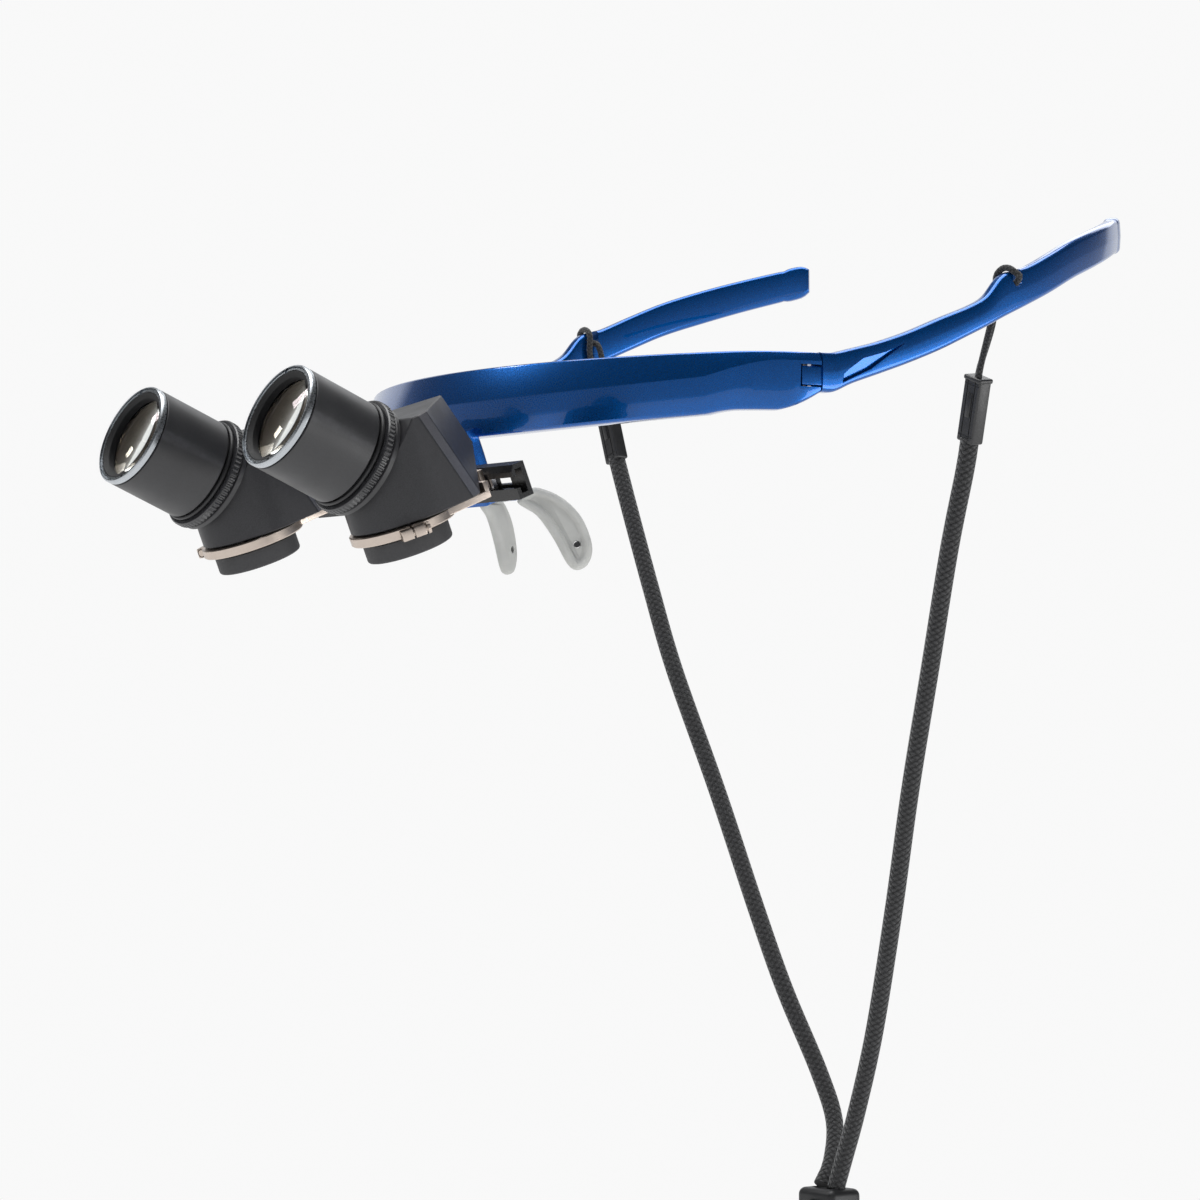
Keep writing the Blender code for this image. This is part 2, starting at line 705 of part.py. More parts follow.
def housing_planes(inset):
    roof = Vector((math.sin(ROOF_SLOPE), math.cos(ROOF_SLOPE) * math.cos(RIDGE_LEAN),
                   math.cos(ROOF_SLOPE) * math.sin(RIDGE_LEAN)))
    roof_reach = roof.dot(Vector((0.0, RIDGE_AT_TOP, HOUSING_TOP)))
    edge_back = (roof_reach - roof.x * HOUSING_HALF_WIDTH - roof.z * HOUSING_TOP) / roof.y
    strip = (roof + Vector((1.0, 0.0, 0.0))).normalized()
    strip_reach = strip.dot(Vector((HOUSING_HALF_WIDTH, edge_back, HOUSING_TOP))) - STRIP_DEPTH
    barrel = Vector((0.0, -math.sin(DEFLECTION), math.cos(DEFLECTION)))
    planes = [
        (Vector((0.0, 0.0, 1.0)), HOUSING_TOP),
        (Vector((0.0, 0.0, -1.0)), HOUSING_BOTTOM),
        (Vector((0.0, math.cos(UNDERCUT_LEAN), -math.sin(UNDERCUT_LEAN))), UNDERCUT_REACH),
        (barrel, HOUSING_FRONT),
    ]
    for side in (1, -1):
        planes.append((Vector((side, 0.0, 0.0)), HOUSING_HALF_WIDTH))
        planes.append((Vector((side * roof.x, roof.y, roof.z)), roof_reach))
        planes.append((Vector((side * strip.x, strip.y, strip.z)), strip_reach))
    for index in range(BASE_FACETS + 1):
        angle = BASE_SWEEP * (2.0 * index / BASE_FACETS - 1.0)
        planes.append((Vector((math.sin(angle), -math.cos(angle), 0.0)), BASE_RADIUS))
    return [(normal, distance - inset) for normal, distance in planes]


def loupe_places(side):
    """The loupe's own frame, and the same point turned onto the barrel axis."""
    loupe = CARRIER @ Matrix.Translation((side * HALF_SPACING, 0.0, 0.0))
    return loupe, loupe @ Matrix.Rotation(DEFLECTION, 4, "X")


def prism_housing(side):
    loupe, barrel = loupe_places(side)
    shell = sliced_block(side_name("prism_housing", side), housing_planes(0.0), loupe)
    boolean(shell, sliced_block(side_name("prism_space", side), housing_planes(HOUSING_WALL), loupe))
    boolean(shell, cylinder(side_name("barrel_port", side), BARREL_BORE, 0.0, HOUSING_FRONT + 2.0, barrel))
    boolean(shell, cylinder(side_name("eye_port", side), CUP_BORE, -HOUSING_BOTTOM - 2.0, 0.0, loupe))
    finish(baked(shell), "satin_black", smooth=False)
    prism = sliced_block(side_name("roof_prism", side), housing_planes(HOUSING_WALL + GAP), loupe)
    finish(prism, "glass")


def knurled_profile():
    outer = FOCUS_RADIUS
    low = FOCUS_FROM
    high = FOCUS_FROM + FOCUS_LENGTH
    bore = SPIGOT_RADIUS + GAP
    return [(outer - 0.3, high), (outer, high - 0.3), (outer, low + 0.3), (outer - 0.3, low),
            (bore, low), (bore, high)]


def objective(side):
    _, place = loupe_places(side)
    bore = SPIGOT_RADIUS + GAP
    collar = turned(side_name("barrel_collar", side), [
        (COLLAR_RADIUS, COLLAR_FROM + COLLAR_LENGTH), (COLLAR_RADIUS, COLLAR_FROM),
        (bore, COLLAR_FROM), (bore, COLLAR_FROM + COLLAR_LENGTH)], place)
    finish(collar, "satin_black")
    ring = turned(side_name("focus_ring", side), knurled_profile(), place, KNURL_COUNT)
    finish(ring, "satin_black")
    groove = BARREL_FROM + 2 * GRIP_RING_RADIUS + GAP
    grip_at = BARREL_FROM + GRIP_RING_RADIUS
    grip_out = BARREL_RADIUS - GRIP_RING_RADIUS + GAP
    grip = turned(side_name("grip_ring", side), [
        (grip_out + GRIP_RING_RADIUS * math.cos(a), grip_at + GRIP_RING_RADIUS * math.sin(a))
        for a in [math.pi / 2 - math.tau * index / 8 for index in range(8)]], place)
    finish(grip, "rubber_grey")
    tube_wall = turned(side_name("objective_barrel", side), [
        (BARREL_RADIUS - 0.3, BARREL_TO), (BARREL_RADIUS, BARREL_TO - 0.3), (BARREL_RADIUS, groove),
        (SPIGOT_RADIUS, groove), (SPIGOT_RADIUS, COLLAR_FROM), (BARREL_BORE, COLLAR_FROM),
        (BARREL_BORE, LENS_SHOULDER), (LENS_SEAT_RADIUS, LENS_SHOULDER),
        (LENS_SEAT_RADIUS, BARREL_TO)], place)
    finish(tube_wall, "satin_black")
    lens_low = LENS_SHOULDER + GAP
    lens_high = lens_low + OBJECTIVE_EDGE
    lens = turned(side_name("objective_lens", side), lens_profile(
        LENS_SEAT_RADIUS - GAP, lens_low + OBJECTIVE_BULGE, lens_high - OBJECTIVE_BULGE, OBJECTIVE_BULGE),
        place, closed=False)
    finish(lens, "glass")
    spigot_low = lens_high + GAP
    spigot_out = LENS_SEAT_RADIUS - GAP
    retainer = turned(side_name("retaining_ring", side), [
        (BARREL_RADIUS - 0.3, RIM_REACH), (BARREL_RADIUS, RIM_REACH - 0.3),
        (BARREL_RADIUS, RETAINER_FROM), (spigot_out, RETAINER_FROM), (spigot_out, spigot_low),
        (RETAINER_INNER, spigot_low), (RETAINER_INNER, RIM_REACH)], place)
    for index, way in enumerate((1.0, -1.0)):
        low = (way * (RETAINER_INNER + BARREL_RADIUS) / 2 - 0.6, -RETAINER_SLOT / 2, RIM_REACH - 0.6)
        high = (way * (RETAINER_INNER + BARREL_RADIUS) / 2 + 0.6, RETAINER_SLOT / 2, RIM_REACH + 1.0)
        turned_slot = place @ Matrix.Rotation(math.radians(90.0), 4, "Z")
        boolean(retainer, box(side_name(f"spanner_slot_{index}", side), low, high, turned_slot))
    finish(baked(retainer), "silver")


def eyepiece(side):
    loupe, _ = loupe_places(side)
    seat = EYE_LENS_RADIUS + GAP
    shoulder = CUP_TOP - 0.6
    cup = turned(side_name("eyepiece_cup", side), [
        (NECK_RADIUS, CLAMP_TOP), (NECK_RADIUS, CUP_TOP), (CUP_RADIUS - 0.2, CUP_TOP),
        (CUP_RADIUS, CUP_TOP - 0.2), (CUP_RADIUS, CUP_FOOT + 0.6), (CUP_RADIUS - 0.6, CUP_FOOT),
        (seat, CUP_FOOT), (seat, shoulder), (CUP_BORE, shoulder), (CUP_BORE, CLAMP_TOP)], loupe)
    finish(cup, "rubber_grey")
    high = shoulder - GAP
    lens = turned(side_name("eyepiece_lens", side), lens_profile(
        EYE_LENS_RADIUS, high - EYE_LENS_EDGE + EYE_LENS_BULGE, high - EYE_LENS_BULGE, EYE_LENS_BULGE),
        loupe, closed=False)
    finish(lens, "glass")


def clamp_plate(side):
    loupe, _ = loupe_places(side)
    name = side_name("clamp_plate", side)
    bore = NECK_RADIUS + GAP
    plate = cylinder(name, CLAMP_RADIUS, CLAMP_FOOT, CLAMP_TOP, loupe)
    tongue_x = -side * TONGUE_INBOARD
    inboard = tongue_x - side * ARM_WIDTH / 2
    arm_low, arm_high = sorted((inboard, tongue_x + side * ARM_WIDTH / 2))
    shelf_low, shelf_high = sorted((inboard, side * SHELF_OUT))
    stand_low, stand_high = sorted((side * UPSTAND_IN, side * SHELF_OUT))
    shelf_foot = CLAMP_TOP - SHELF_THICK
    shelf = box(side_name("plate_shelf", side), (shelf_low, SHELF_FRONT, shelf_foot),
                (shelf_high, SHELF_BACK, CLAMP_TOP), loupe)
    boolean(plate, shelf, "UNION")
    boolean(plate, cylinder(side_name("neck_bore", side), bore, CLAMP_FOOT - 1.0, CLAMP_TOP + 1.0, loupe))
    upstand = box(side_name("plate_upstand", side), (stand_low, SHELF_BACK - TAB_THICK, CLAMP_TOP - GAP),
                  (stand_high, SHELF_BACK, CLAMP_TOP + UPSTAND_RISE), loupe)
    boolean(plate, upstand, "UNION")
    arm = box(side_name("plate_arm", side), (arm_low, SHELF_BACK - 2 * TAB_THICK, shelf_foot),
              (arm_high, TAB_FRONT + TAB_THICK / 2, CLAMP_TOP), loupe)
    boolean(plate, arm, "UNION")
    tab = box(side_name("plate_tab", side), (arm_low, TAB_FRONT, RAIL_MID_HEIGHT - TONGUE_THICK / 2),
              (arm_high, TAB_BACK, CLAMP_TOP + TAB_RISE), loupe)
    boolean(plate, tab, "UNION")
    tongue_end = RAIL_BACK - RAIL_BACK_WALL - 2 * GAP
    tongue = box(side_name("plate_tongue", side),
                 (tongue_x - TONGUE_HALF, TAB_FRONT, RAIL_MID_HEIGHT - TONGUE_THICK / 2),
                 (tongue_x + TONGUE_HALF, tongue_end, RAIL_MID_HEIGHT + TONGUE_THICK / 2), loupe)
    boolean(plate, tongue, "UNION")
    lug_place = loupe @ Matrix.Rotation(-side * LUG_TURN, 4, "Z")
    inner = (bore + CLAMP_RADIUS) / 2
    outer = CLAMP_RADIUS + LUG_REACH
    lug = box(side_name("plate_lug", side),
              (min(side * inner, side * outer), -LUG_LENGTH / 2, CLAMP_FOOT - 0.4),
              (max(side * inner, side * outer), LUG_LENGTH / 2, CLAMP_TOP - 0.3), lug_place)
    boolean(plate, lug, "UNION")
    past = outer + LUG_REACH
    split = box(side_name("plate_split", side), (min(0.0, side * past), -SPLIT_WIDTH / 2, CLAMP_FOOT - 2.0),
                (max(0.0, side * past), SPLIT_WIDTH / 2, CLAMP_TOP + 1.0), lug_place)
    boolean(plate, split)
    screw_x = side * (CLAMP_RADIUS + LUG_REACH / 2)
    along = lug_place @ Matrix.Translation((screw_x, 0.0, (CLAMP_TOP + CLAMP_FOOT) / 2 - 0.35))
    along = along @ Matrix.Rotation(math.radians(-90.0), 4, "X")
    hole_radius = CLAMP_SCREW_RADIUS + PIN_PLAY
    boolean(plate, cylinder(side_name("lug_hole", side), hole_radius, -LUG_LENGTH, LUG_LENGTH, along, 12))
    finish(baked(plate), "champagne", smooth=False)
    half = LUG_LENGTH / 2
    screw = turned(side_name("clamp_screw", side), [
        (0.0, half + 1.0), (1.15, half + 0.9), (1.2, half + GAP), (CLAMP_SCREW_RADIUS, half + GAP),
        (CLAMP_SCREW_RADIUS, -half), (0.0, -half)], along, 16, closed=False)
    finish(screw, "steel")


def carriage(side):
    """Slider inside the rail, with a window for the clamp plate's tongue."""
    loupe, _ = loupe_places(side)
    x = -side * TONGUE_INBOARD
    room = RAIL_HEIGHT / 2 - RAIL_FLANGE - GAP
    front = RAIL_FRONT + RAIL_LIP + GAP
    back = RAIL_BACK - RAIL_BACK_WALL - GAP
    slider = box(side_name("carriage", side), (x - CARRIAGE_HALF, front, RAIL_MID_HEIGHT - room),
                 (x + CARRIAGE_HALF, back, RAIL_MID_HEIGHT + room), loupe)
    clear = TONGUE_THICK / 2 + GAP
    window = box(side_name("tongue_window", side),
                 (x - TONGUE_HALF - GAP, front - 1.0, RAIL_MID_HEIGHT - clear),
                 (x + TONGUE_HALF + GAP, back + 1.0, RAIL_MID_HEIGHT + clear), loupe)
    boolean(slider, window)
    finish(baked(slider), "steel", smooth=False)


def rail():
    half = RAIL_HEIGHT / 2
    slot = RAIL_SLOT / 2
    mid = RAIL_MID_HEIGHT
    lip = RAIL_FRONT + RAIL_LIP
    floor = RAIL_BACK - RAIL_BACK_WALL
    top = mid + half
    foot = mid - half
    outline = [
        (RAIL_FRONT, mid + slot), (RAIL_FRONT, top - 1.2), (RAIL_FRONT + 0.9, top), (RAIL_BACK, top),
        (RAIL_BACK, foot), (RAIL_FRONT, foot), (RAIL_FRONT, mid - slot), (lip, mid - slot),
        (lip, foot + RAIL_FLANGE), (floor, foot + RAIL_FLANGE), (floor, top - RAIL_FLANGE),
        (lip, top - RAIL_FLANGE), (lip, mid + slot),
    ]
    bar = carrier_prism("rail", outline, RAIL_LENGTH / 2)
    for side in (1, -1):
        centre = side * (RAIL_LENGTH / 2 - WINDOW_FROM_END - WINDOW_LENGTH / 2)
        low = (centre - WINDOW_LENGTH / 2, floor - 0.4, mid - WINDOW_HEIGHT / 2)
        high = (centre + WINDOW_LENGTH / 2, RAIL_BACK + 1.0, mid + WINDOW_HEIGHT / 2)
        boolean(bar, box(side_name("rail_window", side), low, high, CARRIER))
    across = Matrix.Rotation(math.radians(90.0), 4, "X")
    shank = RAIL_SCREW_RADIUS + PIN_PLAY
    for side in (1, -1):
        place = CARRIER @ Matrix.Translation((side * RAIL_SCREW_SPREAD, 0.0, mid)) @ across
        boolean(bar, cylinder(side_name("rail_screw_hole", side), shank, -RAIL_BACK - 1.0, -floor + 0.4,
                              place, 12))
    finish(baked(bar), "rail_black", smooth=False)


def rail_screws():
    """Two screws, heads inside the rail, shanks in the flip bracket."""
    floor = RAIL_BACK - RAIL_BACK_WALL
    across = Matrix.Rotation(math.radians(90.0), 4, "X")
    end = -RAIL_BACK - GAP - 1.2
    seat = GAP - floor
    profile = [(0.0, seat + 0.8), (RAIL_SCREW_HEAD, seat + 0.7), (RAIL_SCREW_HEAD, seat),
               (RAIL_SCREW_RADIUS, -floor + GAP), (RAIL_SCREW_RADIUS, end), (0.0, end)]
    for side in (1, -1):
        place = CARRIER @ Matrix.Translation((side * RAIL_SCREW_SPREAD, 0.0, RAIL_MID_HEIGHT)) @ across
        finish(turned(side_name("rail_screw", side), profile, place, 12, closed=False), "steel")


def flip_hinge():
    pin = FLIP_PIN_AT
    face = RAIL_BACK + GAP
    outline = [(face, pin.z + BRACKET_RISE), (face, pin.z - BRACKET_DROP), (face + 1.8, pin.z - BRACKET_DROP)]
    outline += round_nose(pin, KNUCKLE_RADIUS, math.radians(-20.0), math.radians(140.0))
    bracket = carrier_prism("flip_bracket", outline, KNUCKLE_HALF)
    turn_x = Matrix.Rotation(math.radians(90.0), 4, "Y")
    along = CARRIER @ Matrix.Translation(pin) @ turn_x
    boolean(bracket, cylinder("knuckle_hole", FLIP_PIN_RADIUS + PIN_PLAY, -10.0, 10.0, along, 20))
    across = Matrix.Rotation(math.radians(90.0), 4, "X")
    for side in (1, -1):
        place = CARRIER @ Matrix.Translation((side * RAIL_SCREW_SPREAD, 0.0, RAIL_MID_HEIGHT)) @ across
        boolean(bracket, cylinder(side_name("bracket_hole", side), RAIL_SCREW_RADIUS + PIN_PLAY,
                                  -RAIL_BACK - GAP - 1.6, -RAIL_BACK + 1.0, place, 12))
    finish(baked(bracket), "rail_black")
    half = KNUCKLE_HALF + GAP + EAR_THICK
    finish(cylinder("flip_pin", FLIP_PIN_RADIUS, -half, half, along, 20), "steel")

    seat = pin.z + KNUCKLE_RADIUS + GAP
    root = pin.y + STEM_FRONT - GAP
    tip = pin.y + SPRING_TIP
    outline = [(tip, seat), (root, seat), (root, seat + SPRING_THICK), (tip, seat + SPRING_THICK)]
    finish(carrier_prism("detent_spring", outline, SPRING_HALF), "steel", smooth=False)


def from_notch(side, offset):
    outward, back, up = offset
    return notch_floor(side) + Vector((side * outward, back, up))


def strap_end(side):
    """String loop over the temple notch and the sleeve it hangs from."""
    ends = LEFT_SLEEVE_ENDS if side > 0 else RIGHT_SLEEVE_ENDS
    top, foot = (from_notch(side, end) for end in ends)
    axis = (foot - top).normalized()
    wide = Vector((0.0, 1.0, 0.0)).cross(axis).normalized()
    deep = axis.cross(wide)
    place = Matrix((wide, deep, axis)).transposed().to_4x4()
    place.translation = top
    width, depth, length = SLEEVE_SIZE
    sleeve = box(side_name("strap_sleeve", side),
                 (-width / 2, -depth / 2, 0.0), (width / 2, depth / 2, length), place)
    round_edges(sleeve, 0.5)
    finish(baked(sleeve), "braid_black")

    half = TEMPLE_THICK / 2
    beside = half + STRING_RADIUS + 2 * GAP
    crown = STRING_RADIUS + GAP
    start = top - axis * GAP - wide * (STRING_SPREAD * side)
    end = top - axis * GAP + wide * (STRING_SPREAD * side)
    if side * start.x > side * end.x:
        start, end = end, start
    over = [(0.2 - beside, 0.0, crown - 1.0), (-0.75 * half, 0.0, crown), (0.75 * half, 0.0, crown),
            (beside - 0.2, 0.0, crown - 1.0)]
    inner = [(outward - beside, back, up) for outward, back, up in STRING_INNER_WAY]
    outer = [(outward + beside, back, up) for outward, back, up in STRING_OUTER_WAY]
    loop = [from_notch(side, offset) for offset in (*inner, *over, *outer)]
    loop = [start, start - axis * STRING_LEAD, *loop, end - axis * STRING_LEAD, end]
    tube(side_name("strap_string", side), smooth_route(loop, 3.0), STRING_RADIUS, "braid_black", 1)
    return foot, axis


def neck_cords():
    for side, sway in ((1, LEFT_CORD_SWAY), (-1, RIGHT_CORD_SWAY)):
        foot, axis = strap_end(side)
        lead = foot + axis * CORD_LEAD
        end = Vector((side * LOCK_HOLE_SPREAD, LOCK_Y, LOCK_TOP_Z + GAP))
        points = [foot + axis * (2 * GAP), lead]
        for index, (outward, back) in enumerate(sway, 1):
            straight = lead.lerp(end, index / (len(sway) + 1))
            points.append(straight + Vector((side * outward, back, 0.0)))
        route = smooth_route([*points, end], CORD_STEP)
        tube(side_name("neck_cord", side), route, CORD_RADIUS, "braid_black")
    foot = LOCK_TOP_Z - LOCK_SIZE[2]
    half = [Vector((across, LOCK_Y, foot - drop)) for across, drop in TAIL_HALF]
    mirrored = [Vector((-spot.x, spot.y, spot.z)) for spot in reversed(half[:-1])]
    tube("cord_tail", smooth_route(half + mirrored, CORD_STEP), CORD_RADIUS, "braid_black")


def cord_lock():
    width, depth, height = LOCK_SIZE
    foot = LOCK_TOP_Z - height
    body = box("cord_lock_body",
               (-width / 2, LOCK_Y - depth / 2, foot), (width / 2, LOCK_Y + depth / 2, LOCK_TOP_Z))
    round_edges(body, 1.6, 2)
    baked(body)
    for side in (1, -1):
        place = Matrix.Translation((side * LOCK_HOLE_SPREAD, LOCK_Y, 0.0))
        boolean(body, cylinder(side_name("cord_hole", side), LOCK_HOLE_RADIUS, foot - 2.0, LOCK_TOP_Z + 2.0,
                               place, 16))
    face = -(LOCK_Y - depth / 2)
    turned_ahead = Matrix.Rotation(math.radians(90.0), 4, "X")
    ahead = Matrix.Translation((0.0, 0.0, LOCK_TOP_Z - BUTTON_DROP)) @ turned_ahead
    bore_radius = BUTTON_RADIUS + PIN_PLAY
    boolean(body, cylinder("button_bore", bore_radius, face - BUTTON_BORE, face + 2.0, ahead, 20))
    finish(baked(body), "rail_black")

    crown = face + BUTTON_REACH
    button = turned("cord_lock_button", [
        (0.0, crown), (BUTTON_RADIUS * 0.6, crown - 0.15), (BUTTON_RADIUS * 0.9, crown - 0.6),
        (BUTTON_RADIUS, crown - 1.3), (BUTTON_RADIUS, face - BUTTON_DEPTH), (0.0, face - BUTTON_DEPTH)],
        ahead, 20, closed=False)
    finish(button, "rubber_grey")

    length = BUTTON_BORE - BUTTON_DEPTH - 2 * (GAP + LOCK_SPRING_WIRE)
    start = face - BUTTON_BORE + GAP + LOCK_SPRING_WIRE
    coil = []
    for index in range(LOCK_SPRING_TURNS * 12 + 1):
        angle = math.tau * index / 12
        spot = Vector((LOCK_SPRING_RADIUS * math.cos(angle), LOCK_SPRING_RADIUS * math.sin(angle),
                       start + length * index / (LOCK_SPRING_TURNS * 12)))
        coil.append(ahead @ spot)
    tube("cord_lock_spring", coil, LOCK_SPRING_WIRE, "steel", 0)


clear_scene()
make_collections()
make_materials()
brow_frame()
for wearer_side in (1, -1):
    temple(wearer_side)
    nose_pad(wearer_side)
    prism_housing(wearer_side)
    objective(wearer_side)
    eyepiece(wearer_side)
    clamp_plate(wearer_side)
    carriage(wearer_side)
rail()
rail_screws()
flip_hinge()
neck_cords()
cord_lock()
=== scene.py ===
"""Dresses the flip-up prism loupes: lacquered frame, optics, nose pads, braided neck cord and studio."""

import math

import bmesh
import bpy
from mathutils import Matrix, Vector


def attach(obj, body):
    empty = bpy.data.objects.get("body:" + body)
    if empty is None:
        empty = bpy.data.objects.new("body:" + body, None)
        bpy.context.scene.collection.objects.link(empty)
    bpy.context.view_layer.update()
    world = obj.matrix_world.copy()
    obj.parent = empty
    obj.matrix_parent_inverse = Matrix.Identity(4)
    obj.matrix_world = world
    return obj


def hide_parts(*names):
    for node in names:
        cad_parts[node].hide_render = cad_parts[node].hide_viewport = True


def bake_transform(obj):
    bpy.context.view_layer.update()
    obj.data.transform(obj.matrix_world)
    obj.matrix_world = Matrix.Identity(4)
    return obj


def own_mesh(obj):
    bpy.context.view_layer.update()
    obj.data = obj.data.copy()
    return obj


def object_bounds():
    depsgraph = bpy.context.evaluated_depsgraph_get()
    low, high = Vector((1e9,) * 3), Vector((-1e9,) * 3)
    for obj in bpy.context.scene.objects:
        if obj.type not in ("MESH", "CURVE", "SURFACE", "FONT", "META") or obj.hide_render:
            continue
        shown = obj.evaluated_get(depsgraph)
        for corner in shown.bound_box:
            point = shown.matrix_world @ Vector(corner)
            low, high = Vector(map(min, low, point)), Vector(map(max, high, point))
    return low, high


bl_info = {
    "name": "Prism loupes",
    "version": (1, 0, 0),
    "blender": (4, 5, 0),
    "location": "3D View > Sidebar > Loupes",
    "description": "Dresses the flip-up prism loupes and sets up their studio",
    "category": "Add Mesh",
}

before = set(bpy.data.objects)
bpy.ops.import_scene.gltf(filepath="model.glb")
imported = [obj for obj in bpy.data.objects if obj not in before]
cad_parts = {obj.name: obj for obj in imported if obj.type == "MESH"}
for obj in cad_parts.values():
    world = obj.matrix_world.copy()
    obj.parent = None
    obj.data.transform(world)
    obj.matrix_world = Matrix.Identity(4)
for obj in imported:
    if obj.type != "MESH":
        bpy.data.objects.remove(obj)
CAD_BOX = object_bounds()
MM = 0.001
ROUND_STEPS = 96
# Steeper edges than these stay sharp, in degrees: on turned pieces, and along cords and coils
TURNED_ANGLE = 25.0
TUBE_ANGLE = 60.0
SIDES = ((1, "left"), (-1, "right"))

# The carrier leans back by this angle, and both optical axes of a loupe cross at this point
CARRIER_TILT = math.radians(22.5)
DEFLECTION = math.radians(45.0)
HALF_SPACING = 28.0
AXES_CROSS = Vector((0.0, -55.0, 4.6))
CARRIER = Matrix.Translation(AXES_CROSS) @ Matrix.Rotation(CARRIER_TILT, 4, "X")
LAID_ALONG_X = Matrix.Rotation(math.radians(90.0), 4, "Y")


def add_piece(name, mesh, body, material, replaced=(), place=None, smooth_angle=35.0):
    """Put a finished mesh, in metres, into the scene on its body."""
    item = bpy.data.objects.new(name, mesh)
    bpy.context.scene.collection.objects.link(item)
    if place is not None:
        item.matrix_world = place
        bpy.context.view_layer.update()
    mesh.materials.clear()
    mesh.materials.append(finish(material))
    mesh.shade_smooth()
    mesh.set_sharp_from_angle(angle=math.radians(smooth_angle))
    if replaced:
        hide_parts(*replaced)
    if body:
        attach(item, body)
    return item


def in_metres(place):
    moved = place.copy()
    moved.translation = place.translation * MM
    return moved


def mesh_from(name, build):
    grid = bmesh.new()
    build(grid)
    bmesh.ops.recalc_face_normals(grid, faces=grid.faces)
    mesh = bpy.data.meshes.new(name)
    grid.to_mesh(mesh)
    grid.free()
    return mesh


def loft_mesh(name, rings):
    """Skin between rings of points in millimetres, closed by flat ends."""
    def build(grid):
        made = [[grid.verts.new(Vector(point) * MM) for point in ring] for ring in rings]
        count = len(made[0])
        for first, second in zip(made, made[1:]):
            for index in range(count):
                after = (index + 1) % count
                grid.faces.new((first[index], first[after], second[after], second[index]))
        grid.faces.new(made[0])
        grid.faces.new(made[-1])

    return mesh_from(name, build)


def lathe_mesh(name, profile, steps, radius_at=None):
    """A closed profile of (radius, height) in millimetres turned about Z.

    radius_at(radius, step) may change the radius round the axis, for knurls.
    """
    def build(grid):
        made = []
        for step in range(steps):
            angle = math.tau * step / steps
            ring = []
            for radius, height in profile:
                reach = radius_at(radius, step) if radius_at else radius
                spot = Vector((reach * math.cos(angle), reach * math.sin(angle), height)) * MM
                ring.append(grid.verts.new(spot))
            made.append(ring)
        count = len(profile)
        for step in range(steps):
            first = made[step]
            second = made[(step + 1) % steps]
            for index in range(count):
                after = (index + 1) % count
                grid.faces.new((first[index], first[after], second[after], second[index]))

    return mesh_from(name, build)


def box_mesh(name, low, high, bevel=0.0, segments=2):
    """A block between two corners in millimetres, with rounded edges."""
    low = Vector(low) * MM
    high = Vector(high) * MM

    def build(grid):
        size = Matrix.Diagonal((*(high - low), 1.0))
        bmesh.ops.create_cube(grid, size=1.0, matrix=Matrix.Translation((low + high) / 2) @ size)
        if bevel:
            bmesh.ops.bevel(grid, geom=grid.edges[:], offset=bevel * MM, segments=segments,
                            profile=0.5, affect="EDGES")

    return mesh_from(name, build)


def rod_mesh(name, radius, start, end, place, sides=32):
    """A plain round rod along the local Z axis of a place in millimetres."""
    def build(grid):
        middle = place @ Matrix.Translation((0.0, 0.0, (start + end) / 2))
        bmesh.ops.create_cone(grid, cap_ends=True, segments=sides, radius1=radius * MM, radius2=radius * MM,
                              depth=(end - start) * MM, matrix=in_metres(middle))

    return mesh_from(name, build)


def joined(name, base, additions=(), cuts=()):
    """A mesh with others added to it and cut from it."""
    main = bpy.data.objects.new(name, base)
    bpy.context.scene.collection.objects.link(main)
    helpers = []
    for meshes, operation in ((additions, "UNION"), (cuts, "DIFFERENCE")):
        for mesh in meshes:
            helper = bpy.data.objects.new(f"{name}_tool", mesh)
            bpy.context.scene.collection.objects.link(helper)
            helpers.append(helper)
            change = main.modifiers.new(operation.lower(), "BOOLEAN")
            change.operation = operation
            change.solver = "EXACT"
            change.object = helper
    bpy.context.view_layer.update()
    graph = bpy.context.evaluated_depsgraph_get()
    result = bpy.data.meshes.new_from_object(main.evaluated_get(graph))
    for item in (main, *helpers):
        bpy.data.objects.remove(item)
    return result


def rounded_outline(corners, steps=4):
    """Round each corner (across, up, radius) of a closed outline with an arc of a few steps."""
    outline = []
    count = len(corners)
    for index, (across, up, radius) in enumerate(corners):
        here = Vector((across, up))
        before = (Vector(corners[index - 1][:2]) - here).normalized()
        after = (Vector(corners[(index + 1) % count][:2]) - here).normalized()
        half = before.angle(after) / 2
        if radius <= 0.0 or half > math.radians(89.0):
            outline.extend([here] * (steps + 1))
            continue
        reach = radius / math.tan(half)
        middle = here + (before + after).normalized() * (radius / math.sin(half))
        first = here + before * reach - middle
        last = here + after * reach - middle
        sweep = first.angle_signed(last)
        for step in range(steps + 1):
            turn = Matrix.Rotation(-sweep * step / steps, 2)
            outline.append(middle + turn @ first)
    return outline


def curve_point(before, start, end, after, share):
    """A point of the smooth curve from start to end."""
    return 0.5 * (2 * start + (end - before) * share + (2 * before - 5 * start + 4 * end - after) * share ** 2
                  + (3 * start - before - 3 * end + after) * share ** 3)


def smooth_route(points, step, closed=False):
    """Points about a step apart on a smooth curve through the given ones."""
    knots = [Vector(point) for point in points]
    if closed:
        ends = [knots[-1], *knots, knots[0], knots[1]]
    else:
        ends = [2 * knots[0] - knots[1], *knots, 2 * knots[-1] - knots[-2]]
    route = [] if closed else [knots[0]]
    for before, start, end, after in zip(ends, ends[1:], ends[2:], ends[3:]):
        pieces = max(1, round((end - start).length / step))
        route += [curve_point(before, start, end, after, index / pieces) for index in range(1, pieces + 1)]
    return route


